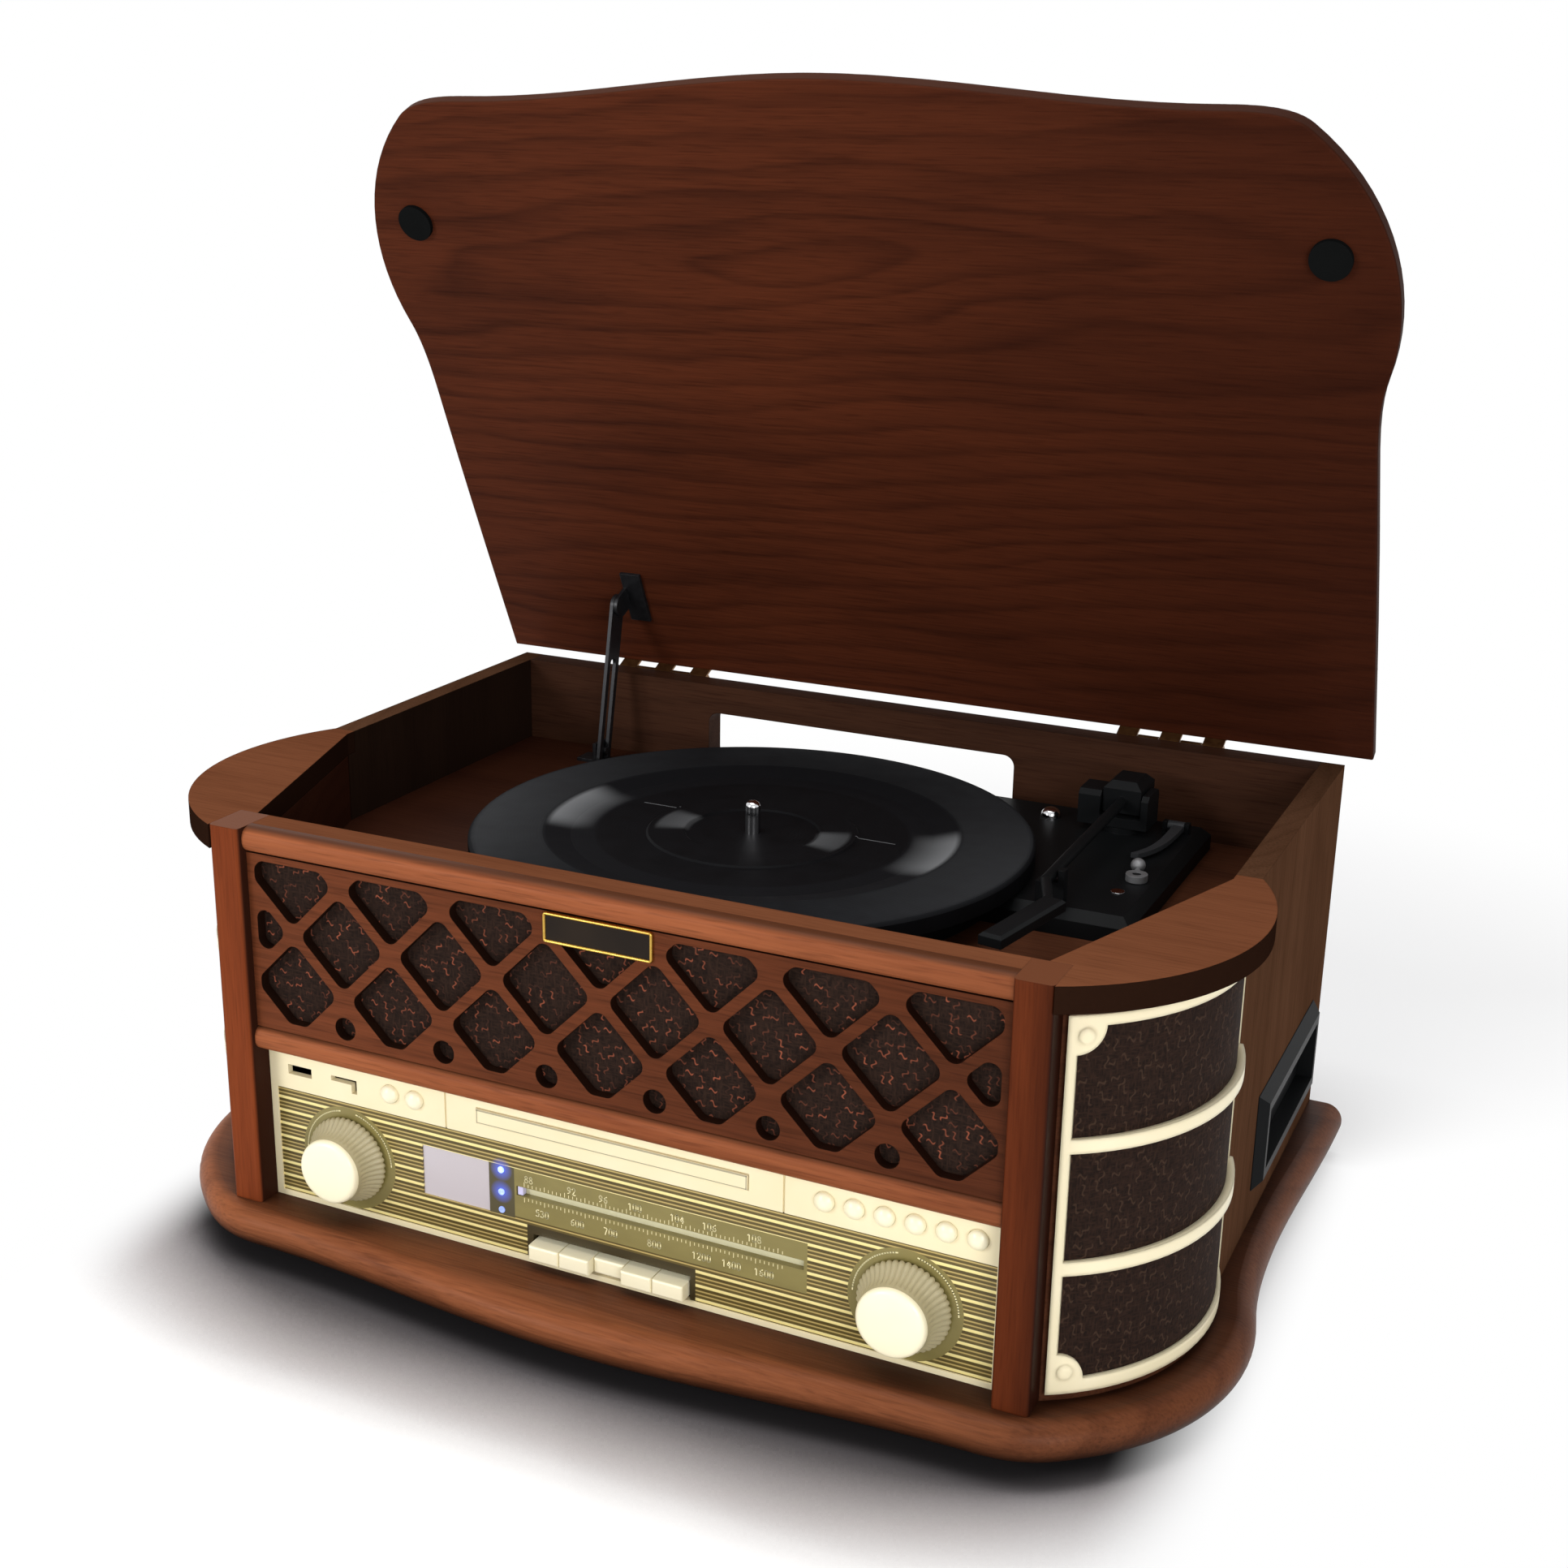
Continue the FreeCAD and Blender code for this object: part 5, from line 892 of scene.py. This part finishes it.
@dataclass
class ControlKnob:
    """Turned knob with a cream face and a flared, fluted skirt."""

    node: str
    length: float = 16.6
    flutes: int = 44
    flute: float = 0.9

    def build(self) -> None:
        """Radius = profile(t) + depth(t) (|sin(n a / 2)| - 0.6); depth grows towards the base."""
        low, high = corner(self.node)
        centre = ((low[0] + high[0]) / 2, low[1], (low[2] + high[2]) / 2)
        around = np.linspace(0, 2 * np.pi, self.flutes * 8, endpoint=False)
        face = eased(((0, 0.02), (8, 0.1), (13.0, 0.45), (14.4, 1.1), (14.95, 2.2), (15.0, 3.4)), 28)
        skirt = eased(((15.0, 3.4), (14.75, 3.7), (15.1, 4.2), (15.3, 7.4), (16.0, 9.6), (17.6, 12.2),
                       (19.6, 14.6), (20.0, 16.0), (19.4, 16.6), (3.4, 16.6), (3.0, 16.6)), 64)
        begin = np.clip((skirt[:, 1:] - 5.0) / 0.8, 0, 1)
        outer = np.clip((skirt[:, :1] - 14.6) / 0.8, 0, 1)
        ribs = np.abs(np.sin(self.flutes * around / 2)) - 0.6
        swell = self.flute * (begin * outer * (0.6 + 0.4 * np.clip((skirt[:, 1:] - 7.4) / 7, 0, 1))) * ribs
        shaft = np.array([(3.0, 16.6), (3.0, self.length + 16.0), (0.0, self.length + 16.0)])
        patches = [
            Patch(turned(face, around, centre), wrap=True),
            Patch(turned(skirt, around, centre, swell), wrap=True, finish=1),
            Patch(turned(shaft, around, centre), wrap=True, finish=1),
        ]
        skin(self.node + "_turned", patches, (Palette.ivory, Palette.beige), self.node, (self.node,), sharp=50)


@dataclass
class RoundButton:
    """Push button with a domed cap."""

    node: str
    radius: float = 4.25
    crown: float = 2.0
    power: float = 2.2

    def build(self) -> None:
        """Depth of the cap = crown (r / R)^power with a rounded rim, then a straight barrel."""
        low, high = corner(self.node)
        centre = ((low[0] + high[0]) / 2, low[1], (low[2] + high[2]) / 2)
        depth = high[1] - low[1]
        across = np.linspace(0, 0.9, 12)
        dome = [(self.radius * r, self.crown * r ** self.power) for r in across]
        barrel = [(self.radius * 0.985, self.crown * 1.02), (self.radius, self.crown + 0.5), (self.radius, depth),
                  (0.0, depth)]
        around = np.linspace(0, 2 * np.pi, 48, endpoint=False)
        skin(self.node + "_domed", [Patch(turned(np.array(dome + barrel), around, centre), wrap=True)],
             (Palette.ivory,), self.node, (self.node,), sharp=60)


@dataclass
class Badge:
    """Small bare plate: a black field in a rounded gold rim."""

    node: str = "badge_plate"
    rim: float = 1.5
    corner_r: float = 1.6

    def build(self) -> None:
        """Rim = half-round profile carried along a rounded rectangle; field = flat grid set back in it."""
        low, high = corner(self.node)
        half = np.array([(high[0] - low[0]) / 2, (high[2] - low[2]) / 2])
        middle = np.array([(high[0] + low[0]) / 2, (high[2] + low[2]) / 2])
        turn = np.linspace(0, np.pi / 2, 7)
        ways = np.concatenate([turn + k * np.pi / 2 for k in range(4)])
        signs = np.repeat(np.array([(1, 1), (-1, 1), (-1, -1), (1, -1)]), 7, axis=0)
        out = np.stack([np.cos(ways), np.sin(ways)], axis=1)
        hub = middle + signs * (half - self.corner_r)
        bend = np.linspace(0, np.pi, 9)
        reach = self.corner_r - self.rim / 2 + self.rim / 2 * np.cos(bend)
        depth = high[1] - 0.35 - (high[1] - low[1] - 0.35) * np.sin(bend)
        flat = hub[None] + out[None] * reach[:, None, None]
        rim = np.stack([flat[..., 0], np.broadcast_to(depth[:, None], flat.shape[:2]), flat[..., 1]], axis=-1)
        foot = rim[[-1, 0]].copy()
        foot[..., 1] = high[1]
        side = np.concatenate([rim[[-1]], foot, rim[[0]]])
        inner = half - self.rim * 0.8
        x = middle[0] + np.array([-inner[0], inner[0]])
        z = middle[1] + np.array([-inner[1], inner[1]])
        grid = np.stack([np.stack([[x[0], x[1]], [low[1] + 0.8] * 2, [z[0]] * 2], -1),
                         np.stack([[x[0], x[1]], [low[1] + 0.8] * 2, [z[1]] * 2], -1)])
        skin("badge_rim", [Patch(rim, wrap=True), Patch(side, wrap=True)], (Palette.brass,), "cabinet",
             (self.node,), sharp=60)
        skin("badge_field", [Patch(grid)], (Palette.enamel,), "cabinet", closed=False)


FIGURES: dict[str, tuple[Pair, ...]] = {
    "0": ((0.08, 0.2), (0.08, 0.8), (0.18, 0.96), (0.3, 1), (0.42, 0.96), (0.52, 0.8), (0.52, 0.2), (0.42, 0.04),
          (0.3, 0), (0.18, 0.04), (0.08, 0.2)),
    "1": ((0.14, 0.8), (0.34, 1), (0.34, 0)),
    "2": ((0.08, 0.78), (0.16, 0.94), (0.3, 1), (0.45, 0.95), (0.52, 0.77), (0.45, 0.55), (0.08, 0), (0.54, 0)),
    "3": ((0.08, 0.9), (0.3, 1), (0.5, 0.86), (0.48, 0.64), (0.26, 0.54), (0.5, 0.42), (0.53, 0.16), (0.3, 0),
          (0.06, 0.12)),
    "4": ((0.42, 0), (0.42, 1), (0.05, 0.3), (0.57, 0.3)),
    "5": ((0.5, 1), (0.14, 1), (0.1, 0.55), (0.32, 0.64), (0.5, 0.5), (0.53, 0.22), (0.34, 0), (0.06, 0.1)),
    "6": ((0.48, 0.95), (0.24, 0.82), (0.09, 0.5), (0.09, 0.18), (0.3, 0), (0.52, 0.16), (0.52, 0.42), (0.32, 0.58),
          (0.1, 0.42)),
    "7": ((0.06, 1), (0.54, 1), (0.22, 0)),
    "8": ((0.3, 0.54), (0.12, 0.66), (0.12, 0.88), (0.3, 1), (0.48, 0.88), (0.48, 0.66), (0.3, 0.54), (0.07, 0.38),
          (0.07, 0.12), (0.3, 0), (0.53, 0.12), (0.53, 0.38), (0.3, 0.54)),
    "9": ((0.12, 0.05), (0.36, 0.18), (0.51, 0.5), (0.51, 0.82), (0.3, 1), (0.08, 0.84), (0.08, 0.58), (0.28, 0.42),
          (0.5, 0.58)),
}


@dataclass
class DialPrint:
    """Numbers, ticks and knob arcs printed on the dial."""

    upper: tuple[tuple[float, str], ...] = ((-39.8, "88"), (-18.6, "92"), (-3.2, "96"), (11.9, "100"), (31.8, "104"),
                                            (46.8, "106"), (67.2, "108"))
    lower: tuple[tuple[float, str], ...] = ((-33.3, "530"), (-16.0, "600"), (0.2, "700"), (21.1, "800"),
                                            (43.2, "1200"), (57.0, "1400"), (71.8, "1600"))
    height: float = 3.2
    upper_z: float = 63.4
    lower_z: float = 48.6
    ticks: tuple[float, float, int] = (-42.0, 80.0, 62)
    band: Pair = (56.4, 60.8)
    knob_x: float = 133.5
    knob_z: float = 53.0
    arc: float = 22.6
    widths: Triple = (0.44, 0.28, 0.6)

    def number(self, text: str, x: float, z: float) -> list[np.ndarray]:
        """Polylines of one number centred on x.

        Args:
            text: its figures.
            x: middle of the number.
            z: its foot.

        Returns:
            One polyline for each figure.
        """
        pitch = 0.72 * self.height
        left = x - pitch * len(text) / 2 + 0.06 * self.height
        return [np.array(FIGURES[figure]) * self.height + (left + count * pitch, z)
                for count, figure in enumerate(text)]

    def build(self) -> None:
        """Ribbons along the figures, the ticks on both sides of the band and the arcs round the knobs."""
        face = corner("dial_plate")[0][1] - 0.06
        lines: list[np.ndarray] = []
        for rows, z in ((self.upper, self.upper_z), (self.lower, self.lower_z)):
            for x, text in rows:
                lines += self.number(text, x, z)
        bold, fine, broad = self.widths
        marks = np.linspace(*self.ticks[:2], self.ticks[2])
        long = np.where(np.arange(self.ticks[2]) % 5 == 0, 2.0, 1.2)
        ticks = [np.array([(x, edge + way * 0.5), (x, edge + way * (0.5 + tall))])
                 for edge, way in ((self.band[1], 1), (self.band[0], -1)) for x, tall in zip(marks, long)]
        arcs = []
        for side in (-1, 1):
            for first, last in ((100, 178), (2, 78)):
                way = np.radians(np.linspace(first, last, 26))
                arcs.append(np.stack([side * self.knob_x + self.arc * np.cos(way),
                                      self.knob_z + self.arc * np.sin(way)], axis=1))
        groups = ((lines, bold), (ticks, fine), (arcs, broad))
        patches = [Patch(quad) for group, width in groups for quad in strokes(group, width, face)]
        skin("dial_numbers", patches, (Palette.ink,), "cabinet", closed=False)


@dataclass
class TrayGrooveShade:
    """Painted shade of the fine moulded groove round the front of the disc tray."""

    node: str = "cd_tray"
    inset: float = 0.5
    fine: float = 0.4
    broad: float = 0.8

    def build(self) -> None:
        """Ribbons of painted groove shade along a rectangle just inside the tray's front edges, the upper one
        broader.
        """
        low, high = corner(self.node)
        x = (low[0] + self.inset, high[0] - self.inset)
        z = (low[2] + self.inset, high[2] - self.inset)
        face = low[1] - 0.05
        sides = [np.array([(x[0], z[1]), (x[0], z[0]), (x[1], z[0]), (x[1], z[1])])]
        top = [np.array([(x[0], z[1]), (x[1], z[1])])]
        patches = [Patch(quad) for group in (strokes(sides, self.fine, face), strokes(top, self.broad, face))
                   for quad in group]
        skin("tray_groove_shade", patches, (Palette.shadow,), self.node, closed=False)


@dataclass
class Studio:
    """Camera at the photographed angle, pale floor and soft light."""

    place: Triple = (382.01, -805.56, 492.42)
    heading: float = 24.82
    dip: float = 17.73
    roll: float = 1.02
    lens: float = 46.78
    ambient: float = 0.34
    aim: Triple = (0.0, 0.0, 0.15)
    # Lamps: place in metres, side in metres, watts.
    lamps: dict[str, tuple[Triple, float, float]] = field(default_factory=lambda: {
        "overhead": ((-0.15, -0.05, 2.0), 1.4, 24),
        "front_left": ((-1.2, -1.9, 1.0), 0.7, 21),
        "front_right": ((1.5, -1.75, 0.8), 1.0, 24),
    })
    # Floor in metres: reach of the painted contact shadow, its lean, where the paper turns white all round, where
    # white is painted over its shade at the sides, and from how far back the edge of the white sides widens.
    contact: float = 0.13
    lean: Triple = (0.15, 0.66, 0.74)
    white: Pair = (0.42, 0.8)
    side: float = 0.215
    soft: float = 0.05
    rear: float = 0.15

    def camera(self) -> None:
        """Set the camera from its place, heading, dip and roll."""
        a, e, r = (math.radians(v) for v in (self.heading, self.dip, self.roll))
        back = np.array([math.sin(a) * math.cos(e), -math.cos(a) * math.cos(e), math.sin(e)])
        right = np.array([math.cos(a), math.sin(a), 0.0])
        up = np.cross(back, right)
        turned_right = math.cos(r) * right + math.sin(r) * up
        turned_up = -math.sin(r) * right + math.cos(r) * up
        data = bpy.data.cameras.new("camera")
        data.lens = self.lens
        data.sensor_width = 36.0
        data.clip_start = 0.01
        view = bpy.data.objects.new("camera", data)
        matrix = np.eye(4)
        matrix[:3, 0], matrix[:3, 1], matrix[:3, 2] = turned_right, turned_up, back
        matrix[:3, 3] = np.array(self.place) * MM
        view.matrix_world = Matrix(matrix.tolist())
        bpy.context.scene.collection.objects.link(view)
        bpy.context.scene.camera = view

    def lamp(self, name: str, at: Triple, size: float, watts: float) -> None:
        """Add one square soft lamp that faces the object.

        Args:
            name: its name.
            at: place in metres.
            size: side in metres.
            watts: power.
        """
        data = bpy.data.lights.new(name, "AREA")
        data.size = size
        data.energy = watts
        lamp = bpy.data.objects.new(name, data)
        back = np.array(at) - np.array(self.aim)
        back = back / np.linalg.norm(back)
        side = np.cross((0.0, 0.0, 1.0), back)
        side = side / np.linalg.norm(side)
        matrix = np.eye(4)
        matrix[:3, 0], matrix[:3, 1], matrix[:3, 2], matrix[:3, 3] = side, np.cross(back, side), back, at
        lamp.matrix_world = Matrix(matrix.tolist())
        bpy.context.scene.collection.objects.link(lamp)

    def seen(self, tree: Tree) -> Source:
        """One for rays that show a surface: from the camera, off gloss and through glass.

        Args:
            tree: tree to add to.

        Returns:
            The mask.
        """
        path = add(tree, "LightPath")
        direct = add(tree, "Math:MAXIMUM", [path.outputs["Is Camera Ray"], path.outputs["Is Transmission Ray"]])
        return add(tree, "Math:MAXIMUM", [direct, path.outputs["Is Glossy Ray"]])

    def floor(self) -> None:
        """Wide pale disc, point = (r cos a, r sin a, 0): painted shadow where the object shuts it in, white far off,
        and white painted over its shade beside the object.
        """
        reach = np.array([0.0, 0.3, 1.0, 3.0, 8.0])[:, None]
        around = np.linspace(0, 2 * np.pi, 64, endpoint=False)[None]
        points = np.stack([reach * np.cos(around), reach * np.sin(around), 0 * reach * around], axis=-1)
        mesh = bpy.data.meshes.new("floor")
        patch = Patch(points, wrap=True)
        mesh.from_pydata(points.reshape(-1, 3).tolist(), [], patch.faces(0).tolist())
        disc = bpy.data.objects.new("floor", mesh)
        bpy.context.scene.collection.objects.link(disc)
        made = bpy.data.materials.new("Pale paper floor")
        made.use_nodes = True
        tree = made.node_tree
        shader = tree.nodes["Principled BSDF"]
        spot = add(tree, "TexCoord").outputs["Object"]
        noise = add(tree, "TexNoise", {"Vector": spot, "Scale": 3.0})
        tint = add(tree, "Mix", {0: noise, 6: "#fdfdfd", 7: "#fbfbfc"})
        behind = add(tree, "CombineXYZ", dict(zip("XYZ", self.lean)))
        # Painted contact shadow: the floor goes dark where occlusion rays along the lean are blocked.
        hidden = add(tree, "AmbientOcclusion", {"Distance": self.contact, "Normal": behind}, samples=32)
        depth = add(tree, "ValToRGB", {"Fac": hidden.outputs["AO"]}, stops=(
            (0.22, "#242223"), (0.45, "#5c5859"), (0.65, "#bdb8b8"), (0.82, "#ffffff")))
        ground = add(tree, "Mix", {0: 1.0, 6: tint, 7: depth}, blend_type="MULTIPLY")
        link(tree, shader, {"Base Color": ground, "Roughness": 0.9, "Specular IOR Level": 0.1})
        reach = add(tree, "VectorMath:LENGTH", [spot])
        fade = add(tree, "MapRange", [reach, self.white[0], self.white[1]], interpolation_type="SMOOTHSTEP")
        # White painted over the floor's shade beside the object; its edge widens further back.
        across = add(tree, "SeparateXYZ", [spot])
        wide = add(tree, "Math:ABSOLUTE", [across.outputs["X"]])
        rear = add(tree, "MapRange", [across.outputs["Y"], self.rear, self.rear + 1, self.soft, self.soft + 1])
        past = add(tree, "Math:SUBTRACT", [wide, self.side])
        flare = add(tree, "Math:DIVIDE", [past, rear])
        sides = add(tree, "MapRange", [flare], interpolation_type="SMOOTHSTEP")
        pale = add(tree, "Math:MAXIMUM", [fade, sides])
        share = add(tree, "Math:MULTIPLY", [pale, self.seen(tree)])
        white = add(tree, "Emission", {"Color": (1.0, 1.0, 1.0, 1.0), "Strength": 1.0})
        mixed = add(tree, "MixShader", {0: share, 1: shader, 2: white})
        link(tree, tree.nodes["Material Output"], {"Surface": mixed})
        mesh.materials.append(made)

    def world(self) -> None:
        """White where the camera, gloss or glass sees it, a plain grey level as light."""
        made = bpy.data.worlds.new("studio")
        bpy.context.scene.world = made
        made.use_nodes = True
        tree = made.node_tree
        tree.nodes.clear()
        seen = self.seen(tree)
        soft = add(tree, "Background", {"Color": (1.0, 1.0, 1.0, 1.0), "Strength": self.ambient})
        white = add(tree, "Background", {"Color": (1.0, 1.0, 1.0, 1.0), "Strength": 1.0})
        mixed = add(tree, "MixShader", {0: seen, 1: soft, 2: white})
        add(tree, "OutputWorld", {"Surface": mixed})

    def build(self) -> None:
        """Camera, floor, lamps and world."""
        self.camera()
        self.floor()
        self.world()
        for name, (at, size, watts) in self.lamps.items():
            self.lamp(name, at, size, watts)
        bpy.context.scene.view_settings.view_transform = "Standard"


def main() -> None:
    """Build the sub-assemblies in order."""
    logging.basicConfig(level=logging.INFO, format="%(name)s %(message)s")
    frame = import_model()
    Cabinet().dress(frame["nodes"])
    for node in ("volume_knob", "tuning_knob"):
        ControlKnob(node).build()
    for node in sorted(frame["nodes"]):
        if "_button_" in node:
            RoundButton(node).build()
    Badge().build()
    DialPrint().build()
    TrayGrooveShade().build()
    Studio().build()


if __name__ == "__main__":
    main()
